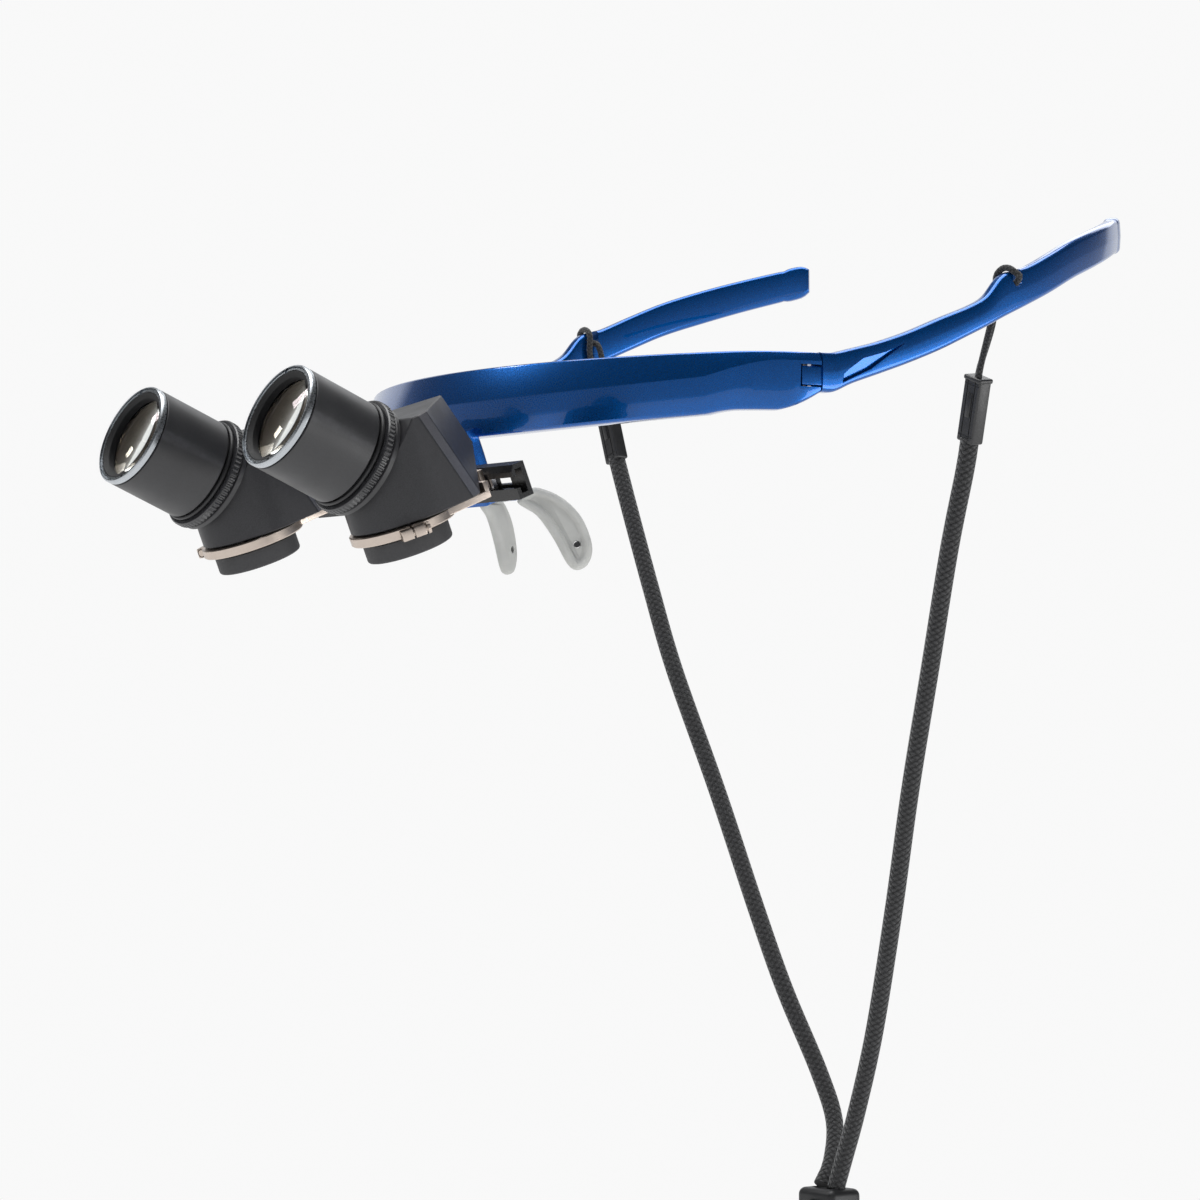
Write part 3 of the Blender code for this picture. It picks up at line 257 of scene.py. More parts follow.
def tube_mesh(name, route, radius, sides):
    """A tube along a route in millimetres, with a UV map: u once round, v in turns of its own girth."""
    girth = math.tau * radius
    mesh = bpy.data.meshes.new(name)
    grid = bmesh.new()
    layer = grid.loops.layers.uv.new("UVMap")
    side_way = None
    rings = []
    travelled = 0.0
    lengths = []
    for index, spot in enumerate(route):
        before = route[max(index - 1, 0)]
        after = route[min(index + 1, len(route) - 1)]
        along = (after - before).normalized()
        if side_way is None:
            side_way = along.orthogonal().normalized()
        side_way = (side_way - along * side_way.dot(along)).normalized()
        other = along.cross(side_way)
        if index:
            travelled += (spot - route[index - 1]).length
        lengths.append(travelled / girth)
        ring = []
        for step in range(sides):
            angle = math.tau * step / sides
            offset = side_way * math.cos(angle) + other * math.sin(angle)
            ring.append(grid.verts.new((spot + offset * radius) * MM))
        rings.append(ring)
    for index in range(len(rings) - 1):
        for step in range(sides):
            after = (step + 1) % sides
            face = grid.faces.new((rings[index][step], rings[index][after],
                                   rings[index + 1][after], rings[index + 1][step]))
            corners = ((step, index), (step + 1, index), (step + 1, index + 1), (step, index + 1))
            for loop, (u, v) in zip(face.loops, corners):
                loop[layer].uv = (u / sides, lengths[v])
    grid.faces.new(rings[0])
    grid.faces.new(rings[-1])
    bmesh.ops.recalc_face_normals(grid, faces=grid.faces)
    grid.to_mesh(mesh)
    grid.free()
    return mesh


def node(tree, kind, **values):
    """Add a node and set its inputs and properties by name."""
    made = tree.nodes.new(kind)
    for name, value in values.items():
        socket = made.inputs.get(name)
        if socket is not None:
            socket.default_value = value
        else:
            setattr(made, name, value)
    return made


def new_group(name, inputs, outputs):
    """An empty shader node group with named float or colour sockets."""
    tree = bpy.data.node_groups.new(name, "ShaderNodeTree")
    for label, kind, value in inputs:
        socket = tree.interface.new_socket(label, in_out="INPUT", socket_type=kind)
        socket.default_value = value
    for label, kind in outputs:
        tree.interface.new_socket(label, in_out="OUTPUT", socket_type=kind)
    return tree, tree.nodes.new("NodeGroupInput"), tree.nodes.new("NodeGroupOutput")


def calc(tree, operation, first, second=None):
    """A sum of numbers or sockets, made by one maths node."""
    made = node(tree, "ShaderNodeMath", operation=operation)
    for socket, source in zip(made.inputs, (first, second)):
        if isinstance(source, (int, float)):
            socket.default_value = source
        elif source is not None:
            tree.links.new(source, socket)
    return made.outputs[0]


def map_range(tree, source, low, high, start=0.0, end=1.0):
    """Map a value between start and end onto low to high."""
    made = node(tree, "ShaderNodeMapRange", **{
        "From Min": start, "From Max": end, "To Min": low, "To Max": high})
    tree.links.new(source, made.inputs["Value"])
    return made.outputs["Result"]


def mix_shaders(tree, share, first, second):
    made = tree.nodes.new("ShaderNodeMixShader")
    for socket, source in zip(made.inputs, (share, first, second)):
        tree.links.new(source, socket)
    return made.outputs[0]


def grain_group():
    """Fine grain and broad blotches over a surface, both about 0 to 1."""
    tree, given, result = new_group(
        "surface_grain",
        (("Grain Scale", "NodeSocketFloat", 4000.0), ("Blotch Scale", "NodeSocketFloat", 90.0)),
        (("Grain", "NodeSocketFloat"), ("Blotch", "NodeSocketFloat")))
    place = tree.nodes.new("ShaderNodeTexCoord")
    for label in ("Grain", "Blotch"):
        cloud = node(tree, "ShaderNodeTexNoise", Detail=3.0, Roughness=0.6)
        tree.links.new(place.outputs["Object"], cloud.inputs["Vector"])
        tree.links.new(given.outputs[f"{label} Scale"], cloud.inputs["Scale"])
        tree.links.new(cloud.outputs["Fac"], result.inputs[label])
    return tree


def edge_group():
    """Masks of outer edges, broken up by grain, for rubbed and dusty corners, and of hollows, for painted
    shade.
    """
    tree, given, result = new_group(
        "rubbed_edges",
        (("From", "NodeSocketFloat", 0.52), ("To", "NodeSocketFloat", 0.62),
         ("Break Up", "NodeSocketFloat", 600.0)),
        (("Edge", "NodeSocketFloat"), ("Hollow Shade", "NodeSocketFloat")))
    shape = tree.nodes.new("ShaderNodeNewGeometry")
    place = tree.nodes.new("ShaderNodeTexCoord")
    cloud = node(tree, "ShaderNodeTexNoise", Detail=4.0)
    tree.links.new(place.outputs["Object"], cloud.inputs["Vector"])
    tree.links.new(given.outputs["Break Up"], cloud.inputs["Scale"])
    edge = node(tree, "ShaderNodeMapRange", interpolation_type="SMOOTHSTEP")
    tree.links.new(shape.outputs["Pointiness"], edge.inputs["Value"])
    tree.links.new(given.outputs["From"], edge.inputs["From Min"])
    tree.links.new(given.outputs["To"], edge.inputs["From Max"])
    broken = calc(tree, "MULTIPLY", edge.outputs["Result"], cloud.outputs["Fac"])
    tree.links.new(broken, result.inputs["Edge"])
    # Hollow Shade: low pointiness in the hollows, a mask for painted shade
    hollow = map_range(tree, shape.outputs["Pointiness"], 0.0, 1.0, 0.49, 0.42)
    tree.links.new(hollow, result.inputs["Hollow Shade"])
    return tree


def flake_group():
    """Tiny pearl flakes in a lacquer: a random value for each flake, and its soft relief."""
    tree, given, result = new_group(
        "pearl_flakes", (("Flake Scale", "NodeSocketFloat", 7000.0),),
        (("Flake", "NodeSocketFloat"), ("Relief", "NodeSocketFloat")))
    place = tree.nodes.new("ShaderNodeTexCoord")
    cells = node(tree, "ShaderNodeTexVoronoi")
    split = tree.nodes.new("ShaderNodeSeparateColor")
    tree.links.new(place.outputs["Object"], cells.inputs["Vector"])
    tree.links.new(given.outputs["Flake Scale"], cells.inputs["Scale"])
    tree.links.new(cells.outputs["Color"], split.inputs["Color"])
    tree.links.new(split.outputs["Red"], result.inputs["Flake"])
    tree.links.new(split.outputs["Green"], result.inputs["Relief"])
    return tree


def braid_group():
    """Relief of two crossing families of strands round a cord, low in the gaps."""
    tree, given, result = new_group(
        "cord_braid", (("Strands", "NodeSocketFloat", 8.0), ("Pitch", "NodeSocketFloat", 6.0)),
        (("Relief", "NodeSocketFloat"),))

    place = tree.nodes.new("ShaderNodeUVMap")
    split = tree.nodes.new("ShaderNodeSeparateXYZ")
    tree.links.new(place.outputs["UV"], split.inputs[0])
    round_way = calc(tree, "MULTIPLY", split.outputs["X"], given.outputs["Strands"])
    along = calc(tree, "MULTIPLY", split.outputs["Y"], given.outputs["Pitch"])
    right = calc(tree, "ADD", round_way, along)
    left = calc(tree, "SUBTRACT", round_way, along)
    parity = calc(tree, "ADD", calc(tree, "FLOOR", right), calc(tree, "FLOOR", left))
    over = calc(tree, "PINGPONG", parity, 1.0)
    crowns = []
    for lay in (right, left):
        across = calc(tree, "SUBTRACT", calc(tree, "FRACT", lay), 0.5)
        slope = calc(tree, "MULTIPLY", calc(tree, "ABSOLUTE", across), 2.0)
        crowns.append(calc(tree, "SUBTRACT", 1.0, slope))
    turned = calc(tree, "SUBTRACT", 1.0, over)
    top = calc(tree, "ADD", calc(tree, "MULTIPLY", crowns[0], over),
               calc(tree, "MULTIPLY", crowns[1], turned))
    ends = calc(tree, "ADD", calc(tree, "MULTIPLY", crowns[1], over),
                calc(tree, "MULTIPLY", crowns[0], turned))
    relief = calc(tree, "MULTIPLY", calc(tree, "POWER", top, 0.5), calc(tree, "POWER", ends, 0.35))
    tree.links.new(relief, result.inputs["Relief"])
    return tree


GROUPS = {}


def group(name):
    makers = {"grain": grain_group, "edge": edge_group, "flake": flake_group, "braid": braid_group}
    if name not in GROUPS:
        GROUPS[name] = makers[name]()
    return GROUPS[name]


class Finish:
    """A material under construction, with short ways to place groups and mixes."""

    def __init__(self, name, **constants):
        self.material = bpy.data.materials.new(name)
        self.material.use_nodes = True
        self.tree = self.material.node_tree
        self.shader = self.tree.nodes["Principled BSDF"]
        for label, value in constants.items():
            self.shader.inputs[label.replace("_", " ").title().replace("Ior", "IOR")].default_value = value

    def place(self, name, **values):
        made = self.tree.nodes.new("ShaderNodeGroup")
        made.node_tree = group(name)
        for label, value in values.items():
            made.inputs[label.replace("_", " ").title()].default_value = value
        return made.outputs

    def ramp(self, source, low, high, start=0.0, end=1.0):
        return map_range(self.tree, source, low, high, start, end)

    def mix(self, mask, first, second):
        """Colours, or sockets with colours, mixed by a mask."""
        made = node(self.tree, "ShaderNodeMix", data_type="RGBA")
        self.tree.links.new(mask, made.inputs["Factor"])
        for label, colour in (("A", first), ("B", second)):
            socket = [item for item in made.inputs if item.name == label and item.type == "RGBA"][0]
            if isinstance(colour, tuple):
                socket.default_value = (*colour[:3], 1.0)
            else:
                self.tree.links.new(colour, socket)
        return [item for item in made.outputs if item.type == "RGBA"][0]

    def feed(self, label, source):
        self.tree.links.new(source, self.shader.inputs[label])

    def bump(self, source, distance, strength):
        """Relief of a height 0 to 1, with its depth in millimetres."""
        made = node(self.tree, "ShaderNodeBump", Distance=distance * MM, Strength=strength)
        self.tree.links.new(source, made.inputs["Height"])
        self.feed("Normal", made.outputs["Normal"])


def shade(colour, factor):
    return tuple(min(1.0, part * factor) for part in colour[:3])


def lacquer_finish(colour):
    """Pearl-blue lacquer under a clear coat."""
    made = Finish("pearl_blue_lacquer", metallic=0.85, specular_ior_level=0.1, coat_weight=1.0,
                  coat_roughness=0.03, coat_ior=1.42)
    flake = made.place("flake", flake_scale=9000.0)
    grain = made.place("grain", grain_scale=900.0, blotch_scale=60.0)
    body = made.mix(made.ramp(flake["Flake"], 0.0, 1.0, 0.2, 1.0), shade(colour, 0.85), shade(colour, 1.2))
    body = made.mix(made.ramp(grain["Blotch"], 0.0, 0.3, 0.4, 0.7), body, shade(colour, 0.85))
    made.feed("Base Color", body)
    made.feed("Roughness", made.ramp(flake["Flake"], 0.24, 0.3))
    made.bump(flake["Relief"], 0.002, 0.1)
    return made.material


def anodised_finish(name, colour, roughness=0.42, specular=0.7):
    """Satin black anodised metal with fine blasting grain and rubbed edges."""
    made = Finish(name, specular_ior_level=specular)
    grain = made.place("grain", grain_scale=5200.0, blotch_scale=120.0)
    edge = made.place("edge", **{"from": 0.53, "to": 0.66, "break_up": 900.0})
    body = made.mix(made.ramp(grain["Grain"], 0.0, 1.0, 0.35, 0.7), shade(colour, 0.8), shade(colour, 1.35))
    made.feed("Base Color", made.mix(made.ramp(edge["Edge"], 0.0, 0.55), body, shade(colour, 5.0)))
    made.feed("Roughness", made.ramp(grain["Blotch"], roughness - 0.05, roughness + 0.07, 0.3, 0.7))
    made.bump(grain["Grain"], 0.02, 0.35)
    return made.material


def moulded_finish(name, colour, roughness, relief=0.015):
    """Moulded plastic or rubber: faint blotches, lighter rubbed and dusty outer edges, fine skin."""
    made = Finish(name)
    grain = made.place("grain", grain_scale=3000.0, blotch_scale=150.0)
    edge = made.place("edge", **{"from": 0.53, "to": 0.68, "break_up": 700.0})
    body = made.mix(made.ramp(grain["Blotch"], 0.0, 1.0, 0.3, 0.7), shade(colour, 0.85), shade(colour, 1.25))
    body = made.mix(made.ramp(edge["Edge"], 0.0, 0.4), body, shade(colour, 3.0))
    made.feed("Base Color", body)
    made.feed("Roughness", made.ramp(grain["Grain"], roughness - 0.06, roughness + 0.08, 0.3, 0.7))
    made.bump(grain["Grain"], relief, 0.4)
    return made.material


def metal_finish(name, colour, roughness):
    """Bare satin or turned metal with fine scratches and slight tarnish."""
    made = Finish(name, metallic=1.0)
    grain = made.place("grain", grain_scale=2500.0, blotch_scale=130.0)
    tarnish = made.ramp(grain["Blotch"], 0.0, 1.0, 0.3, 0.7)
    made.feed("Base Color", made.mix(tarnish, shade(colour, 0.86), colour))
    made.feed("Roughness", made.ramp(grain["Grain"], roughness - 0.06, roughness + 0.1, 0.3, 0.7))
    made.bump(grain["Grain"], 0.006, 0.3)
    return made.material


def pad_finish(colour):
    """Soft grey silicone, a little dusty, with painted shade darkening its hollows."""
    made = Finish("pad_silicone", specular_ior_level=0.3)
    grain = made.place("grain", grain_scale=2600.0, blotch_scale=160.0)
    edge = made.place("edge", **{"from": 0.5, "to": 0.6, "break_up": 400.0})
    body = made.mix(made.ramp(grain["Blotch"], 0.0, 1.0, 0.3, 0.7), shade(colour, 0.92), shade(colour, 1.06))
    # painted shade: the hollows darkened to half the pad's colour
    made.feed("Base Color", made.mix(made.ramp(edge["Hollow Shade"], 0.0, 0.6), body, shade(colour, 0.5)))
    made.feed("Roughness", made.ramp(grain["Grain"], 0.42, 0.58, 0.3, 0.7))
    made.bump(grain["Grain"], 0.02, 0.25)
    return made.material


def braid_finish(name, colour, strands, pitch, relief):
    """Black braided cord: crossing strands with a dry shader sheen, painted highlight on their crowns and
    painted shade in the gaps.
    """
    made = Finish(name, sheen_weight=0.25, sheen_roughness=0.4)
    braid = made.place("braid", strands=strands, pitch=pitch)
    grain = made.place("grain", grain_scale=2600.0, blotch_scale=90.0)
    # painted shade in the gaps between strands, painted highlight on their crowns
    body = made.mix(made.ramp(braid["Relief"], 0.0, 1.0, 0.25, 0.95), shade(colour, 0.25), shade(colour, 1.7))
    body = made.mix(made.ramp(grain["Grain"], 0.0, 0.6, 0.45, 0.75), body, shade(colour, 2.6))
    made.feed("Base Color", body)
    made.feed("Roughness", made.ramp(braid["Relief"], 0.85, 0.55))
    made.bump(braid["Relief"], relief, 1.0)
    return made.material


def glass_finish(name, tint, film):
    """Clear optical glass with a thin coating that colours its glints."""
    made = Finish(name, base_color=(*tint[:3], 1.0), transmission_weight=1.0, ior=1.52,
                  thin_film_thickness=film, thin_film_ior=1.38)
    grain = made.place("grain", grain_scale=900.0, blotch_scale=70.0)
    made.feed("Roughness", made.ramp(grain["Blotch"], 0.0, 0.03, 0.45, 0.75))
    return made.material


def colour_property(name, description, default):
    return bpy.props.FloatVectorProperty(name=name, description=description, subtype="COLOR", size=3,
                                         min=0.0, max=1.0, default=default)


class LoupeColours(bpy.types.PropertyGroup):
    """Colours of the finishes."""

    lacquer: colour_property("Lacquer", "Pearl lacquer of the frame and temples", (0.001, 0.095, 0.38))
    anodised: colour_property("Anodised", "Barrels and prism housings", (0.014, 0.014, 0.0155))
    moulded: colour_property("Moulded", "Rail, bracket and cord lock", (0.012, 0.012, 0.013))
    rubber: colour_property("Rubber", "Eyepiece cups and grip rings", (0.03, 0.03, 0.032))
    champagne: colour_property("Champagne", "Clamp plates", (0.66, 0.57, 0.5))
    silver: colour_property("Silver", "Rim rings", (0.55, 0.58, 0.61))
    steel: colour_property("Steel", "Pins, screws and sliders", (0.5, 0.5, 0.52))
    glass: colour_property("Glass", "Lenses and prisms", (0.96, 0.97, 0.94))
    pad: colour_property("Pad", "Silicone nose pads", (0.43, 0.43, 0.41))
    braid: colour_property("Braid", "Neck cord and strings", (0.017, 0.017, 0.018))


def size_property(name, description, default, low, high):
    return bpy.props.FloatProperty(name=name, description=f"{description}, in millimetres", default=default,
                                   min=low, max=high)


class LoupeSizes(bpy.types.PropertyGroup):
    """Sizes and counts of the details."""

    edge_round: size_property("Edge Round", "Radius of the frame's long edges", 1.1, 0.2, 1.8)
    crease_round: size_property("Crease Round", "Radius of the crease along the brow bar", 0.5, 0.2, 4.0)
    recess_depth: size_property("Recess Depth", "Depth of the facet behind each hinge", 0.3, 0.0, 0.8)
    knurls: bpy.props.IntProperty(
        name="Knurls", description="Ridges round each focus ring", default=72, min=24, max=120)
    knurl_depth: size_property("Knurl Depth", "Depth of the focus ring's ridges", 0.28, 0.05, 0.6)
    slot_angle: bpy.props.FloatProperty(
        name="Slot Angle", description="Way the rim ring's spanner slots lie", subtype="ANGLE",
        default=math.radians(105.0))
    housing_round: size_property("Housing Round", "Radius of the prism housings' edges", 0.22, 0.05, 0.5)
    baffle_ribs: bpy.props.IntProperty(
        name="Baffle Ribs", description="Ribs inside the mouth of each barrel", default=9, min=3, max=16)
    cord_radius: size_property("Cord Radius", "Half the thickness of the neck cord", 1.95, 1.0, 3.0)
    string_radius: size_property("String Radius", "Half the thickness of the temple strings", 0.68, 0.3, 1.0)
    braid_strands: bpy.props.FloatProperty(
        name="Braid Strands", description="Strands of one family round the cord",
        default=7.0, min=3.0, max=16.0)
    braid_pitch: bpy.props.FloatProperty(
        name="Braid Pitch", description="Strand crossings along one girth of cord",
        default=9.0, min=2.0, max=16.0)


class LoupeStudio(bpy.types.PropertyGroup):
    """Camera and studio."""

    azimuth: bpy.props.FloatProperty(
        name="Azimuth", description="Camera's way round the object", subtype="ANGLE",
        default=math.radians(53.61))
    elevation: bpy.props.FloatProperty(
        name="Elevation", description="Camera's height above the horizon", subtype="ANGLE",
        default=math.radians(-2.32))
    lens: bpy.props.FloatProperty(
        name="Lens", description="Focal length in millimetres", default=120.0, min=20.0)
    backdrop: bpy.props.FloatProperty(
        name="Backdrop", description="Brightness of the background", default=0.945, min=0.0, max=1.0)


def colours():
    return bpy.context.scene.loupe_colours


def sizes():
    return bpy.context.scene.loupe_sizes


FINISHES = {}


def finish(name):
    """The named material, built the first time it is asked for."""
    tones = colours()
    makers = {
        "lacquer": lambda: lacquer_finish(tuple(tones.lacquer)),
        "anodised": lambda: anodised_finish("satin_black_anodised", tuple(tones.anodised)),
        "housing": lambda: anodised_finish("housing_black", shade(tones.anodised, 1.5), 0.42, 0.35),
        # painted highlight: the housing's black made 4.2 times lighter for the roof strips
        "strip": lambda: anodised_finish("housing_strip_painted_highlight", shade(tones.anodised, 4.2), 0.34),
        "knurl": lambda: anodised_finish("knurled_black", shade(tones.anodised, 1.3), 0.28, 1.0),
        "ring": lambda: moulded_finish("ring_black", tuple(tones.moulded), 0.35),
        "baffle": lambda: moulded_finish("baffle_black", shade(tones.moulded, 0.6), 0.6),
        "moulded": lambda: moulded_finish("moulded_black", tuple(tones.moulded), 0.42),
        "rail": lambda: moulded_finish("rail_black", shade(tones.moulded, 0.5), 0.3),
        "rubber": lambda: moulded_finish("rubber_grey", tuple(tones.rubber), 0.62, 0.03),
        "sleeve": lambda: moulded_finish("sleeve_black", shade(tones.braid, 0.9), 0.33, 0.02),
        "champagne": lambda: metal_finish("champagne_metal", tuple(tones.champagne), 0.36),
        "silver": lambda: metal_finish("silver_ring", tuple(tones.silver), 0.27),
        "steel": lambda: metal_finish("plain_steel", tuple(tones.steel), 0.3),
        "pad": lambda: pad_finish(tuple(tones.pad)),
        "lens": lambda: glass_finish("coated_lens", tuple(tones.glass), 115.0),
        # prism tint cut to a fifth: painted shade for the dark inside of the housing
        "prism": lambda: glass_finish("prism_glass_painted_shade", shade(tones.glass, 0.2), 0.0),
        "cord": lambda: braid_finish("braided_cord", tuple(tones.braid), sizes().braid_strands,
                                     sizes().braid_pitch, 0.35),
        "string": lambda: braid_finish("braided_string", tuple(tones.braid), 4.0, 5.0, 0.12),
    }
    if name not in FINISHES:
        FINISHES[name] = makers[name]()
    return FINISHES[name]


def dress(name, material, bevel=0.0):
    """Give a CAD node its finish and, where it is cornered, slightly broken edges."""
    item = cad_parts[name]
    item.data.materials.clear()
    item.data.materials.append(finish(material))
    if bevel:
        broken = item.modifiers.new("broken_edges", "BEVEL")
        broken.width = bevel * MM
        broken.segments = 2
        broken.limit_method = "ANGLE"
        broken.angle_limit = math.radians(20.0)
        broken.harden_normals = False


# Brow bar, as the frame's solid has it, in millimetres
BROW_FRONT_Y = -18.5
BROW_RADIUS = 114.0
WRAP_RADIUS = 25.5
WRAP_START = math.radians(31.8)
WRAP_END = math.radians(86.0)
BROW_THICK = 4.4
ARM_THICK = 4.0
BROW_TOP_Z = 29.3
BROW_BOTTOM_MID_Z = 15.1
BROW_BOTTOM_SIDE_Z = 17.7
ARM_BOTTOM_END_Z = 21.2
CREASE_MID_Z = 22.3
CREASE_SIDE_Z = 27.6
CREASE_OUT = 0.4
ARM_END_Y = 18.6
HINGE_PIN_INSET = 3.6
HINGE_PIN_BACKSET = 1.5
HINGE_BOSS_RADIUS = 1.6
BOSS_INSET = 0.7
HINGE_HOLE_RADIUS = 1.0
TONGUE_MID_Z = 24.6
TONGUE_HEIGHT = 3.8
TONGUE_REACH = 2.6
GAP = 0.3
BROW_STATIONS = 44
# Shares of the way from the middle to the arm's end
BROW_SIDE_AT = 0.5
CREASE_SIDE_AT = 0.75
ARM_TAPER_FROM = 0.72
UPPER_LEAN_MID = 1.7
UPPER_LEAN_SIDE = 0.5
BROW_CROWN = 0.28
BROW_CROWN_ROUND = 6.0

# Flip hinge and stem, in the carrier's own frame
FLIP_PIN = Vector((0.0, 28.3, -8.0))
FLIP_HOLE_RADIUS = 1.2
EAR_RADIUS = 2.1
EAR_INNER = 3.9
EAR_THICK = 2.0
STEM_FRONT = 7.4
STEM_THICK = 3.3
STEM_HALF_TOP = 5.9
STEM_HALF_BOTTOM = 5.4
STEM_RISE = 5.5
STEM_DROP = 10.6
STEM_ROUND = 0.8
BRIDGE_LOW = (-4.9, -13.5, 2.5)
BRIDGE_HIGH = (4.9, -6.6, 4.6)


def brow_plan(turn):
    """Point and outward direction on the outer face, where the plan has turned by an angle."""
    size = abs(turn)
    first = min(size, WRAP_START)
    across = BROW_RADIUS * math.sin(first)
    back = BROW_RADIUS * (1.0 - math.cos(first))
    if size > WRAP_START:
        across += WRAP_RADIUS * (math.sin(size) - math.sin(WRAP_START))
        back += WRAP_RADIUS * (math.cos(WRAP_START) - math.cos(size))
    point = Vector((math.copysign(across, turn), BROW_FRONT_Y + back, 0.0))
    return point, Vector((math.sin(turn), -math.cos(turn), 0.0))


def eased(low, high, part):
    part = min(max(part, 0.0), 1.0)
    return low + (high - low) * part * part * (3.0 - 2.0 * part)


def brow_ring(point, outward, part):
    """The bar's section: crowned lower face, crease, upper face leaning back, round corners."""
    edge = sizes().edge_round
    thick = BROW_THICK + (ARM_THICK - BROW_THICK) * part
    top = BROW_TOP_Z
    bottom = eased(BROW_BOTTOM_MID_Z, BROW_BOTTOM_SIDE_Z, part / BROW_SIDE_AT)
    taper = max(0.0, (part - ARM_TAPER_FROM) / 0.28)
    bottom += (ARM_BOTTOM_END_Z - BROW_BOTTOM_SIDE_Z) * taper ** 1.5
    crease = eased(CREASE_MID_Z, CREASE_SIDE_Z, part / CREASE_SIDE_AT)
    lean = eased(UPPER_LEAN_MID, UPPER_LEAN_SIDE, part / CREASE_SIDE_AT)
    corners = (
        (0.0, bottom, edge), (BROW_CROWN, (bottom + crease) / 2, BROW_CROWN_ROUND),
        (CREASE_OUT, crease, sizes().crease_round),
        (-lean, top, edge * 0.6), (-thick, top, edge * 0.6), (-thick, bottom, edge * 0.8),
    )
    return [point + outward * spot.x + Vector((0.0, 0.0, spot.y)) for spot in rounded_outline(corners)]


def hinge_place(side):
    end, _ = brow_plan(WRAP_END)
    return Vector((side * (end.x - HINGE_PIN_INSET), ARM_END_Y - HINGE_PIN_BACKSET, 0.0))


def carrier_loft(name, rings):
    return loft_mesh(name, [[CARRIER @ Vector(point) for point in ring] for ring in rings])


def stem_mesh():
    front = FLIP_PIN.y + STEM_FRONT
    back = front + STEM_THICK
    rings = []
    for height, half in ((-STEM_DROP, STEM_HALF_BOTTOM - 0.5), (-STEM_DROP + 0.5, STEM_HALF_BOTTOM),
                         (0.0, STEM_HALF_TOP), (STEM_RISE, STEM_HALF_TOP)):
        corners = ((-half, front), (half, front), (half, back), (-half, back))
        outline = rounded_outline([(*corner, STEM_ROUND) for corner in corners])
        rings.append([(spot.x, spot.y, FLIP_PIN.z + height) for spot in outline])
    return carrier_loft("stem", rings)


def ear_mesh(side):
    angles = [math.radians(90.0 + 180.0 * step / 14) for step in range(15)]
    outline = [(FLIP_PIN.y + EAR_RADIUS * math.cos(a), FLIP_PIN.z + EAR_RADIUS * math.sin(a)) for a in angles]
    deep = FLIP_PIN.y + STEM_FRONT + 1.0
    outline += [(deep, FLIP_PIN.z - EAR_RADIUS), (deep, FLIP_PIN.z + EAR_RADIUS)]
    planes = (side * EAR_INNER, side * (EAR_INNER + EAR_THICK))
    return carrier_loft("ear", [[(x, back, up) for back, up in outline] for x in planes])


def brow_mesh():
    rings = []
    for index in range(-BROW_STATIONS, BROW_STATIONS + 1):
        part = abs(index) / BROW_STATIONS
        turn = math.copysign(WRAP_END * part ** 0.85, index)
        rings.append(brow_ring(*brow_plan(turn), part))
    for turn in (-WRAP_END, WRAP_END):
        point, outward = brow_plan(turn)
        along = Vector((-outward.y, outward.x, 0.0)) * math.copysign(1.0, turn)
        point = point + along * ((ARM_END_Y - point.y) / along.y)
        rings.insert(0 if turn < 0 else len(rings), brow_ring(point, outward, 1.0))
    additions = [stem_mesh(), box_mesh("bridge", BRIDGE_LOW, BRIDGE_HIGH, 0.7, 3)]
    pin_place = CARRIER @ Matrix.Translation(FLIP_PIN) @ LAID_ALONG_X
    cuts = [rod_mesh("flip_hole", FLIP_HOLE_RADIUS, -20.0, 20.0, pin_place)]
    half = TONGUE_HEIGHT / 2 + GAP
    for side, _ in SIDES:
        pin = hinge_place(side)
        upright = Matrix.Translation(pin)
        additions.append(ear_mesh(side))
        additions.append(rod_mesh("boss", HINGE_BOSS_RADIUS, ARM_BOTTOM_END_Z + BOSS_INSET,
                                  BROW_TOP_Z - BOSS_INSET, upright))
        cuts.append(box_mesh("pocket", (pin.x - 8.0, pin.y - TONGUE_REACH - 2 * GAP, TONGUE_MID_Z - half),
                             (pin.x + 8.0, pin.y + 8.0, TONGUE_MID_Z + half)))
        cuts.append(rod_mesh("pin_hole", HINGE_HOLE_RADIUS, 10.0, 40.0, upright))
    return joined("brow_bar", loft_mesh("brow_bar", rings), additions, cuts)


class LOUPES_OT_brow_frame(bpy.types.Operator):
    """Lacquered brow bar with its stem, hinge ears and bridge"""

    bl_idname = "loupes.brow_frame"
    bl_label = "Brow Frame"

    def execute(self, context):
        add_piece("brow_frame_lacquered", brow_mesh(), "frame", "lacquer", ("brow_frame",),
                  smooth_angle=18.0)
        return {"FINISHED"}


# Temples: middle line in plan, lower and upper edge, as the solids have them
TEMPLE_STATIONS = (
    (70.5, 18.9, 21.5, 29.4), (70.5, 22.4, 21.7, 29.6), (70.7, 27.0, 23.6, 30.7), (71.1, 33.5, 25.8, 32.4),
    (71.6, 41.0, 28.4, 34.9),
    (72.1, 49.0, 31.5, 38.1), (72.6, 56.5, 34.9, 41.0), (72.9, 61.0, 37.0, 43.4), (73.0, 65.5, 39.2, 48.0),
    (72.9, 71.5, 41.9, 49.9), (71.9, 79.0, 45.2, 53.2), (69.6, 87.5, 49.0, 56.9), (65.8, 97.0, 52.4, 60.2),
    (61.0, 105.5, 55.3, 62.8), (54.6, 114.0, 58.0, 65.2), (51.6, 117.3, 59.0, 66.0),
)
TEMPLE_THICK = 3.2
TEMPLE_ROOT_THICK = 3.6
ROOT_TAPER = 26.0
TEMPLE_CROWN = 1.12
TEMPLE_CROWN_ROUND = 5.0
TIP_SHRINK = {0: 0.78, 1: 0.97, 2: 1.05, 3: 1.08, 4: 1.08, 5: 1.05, 6: 0.98}
NOTCH_X = 73.0
NOTCH_Y = 68.6
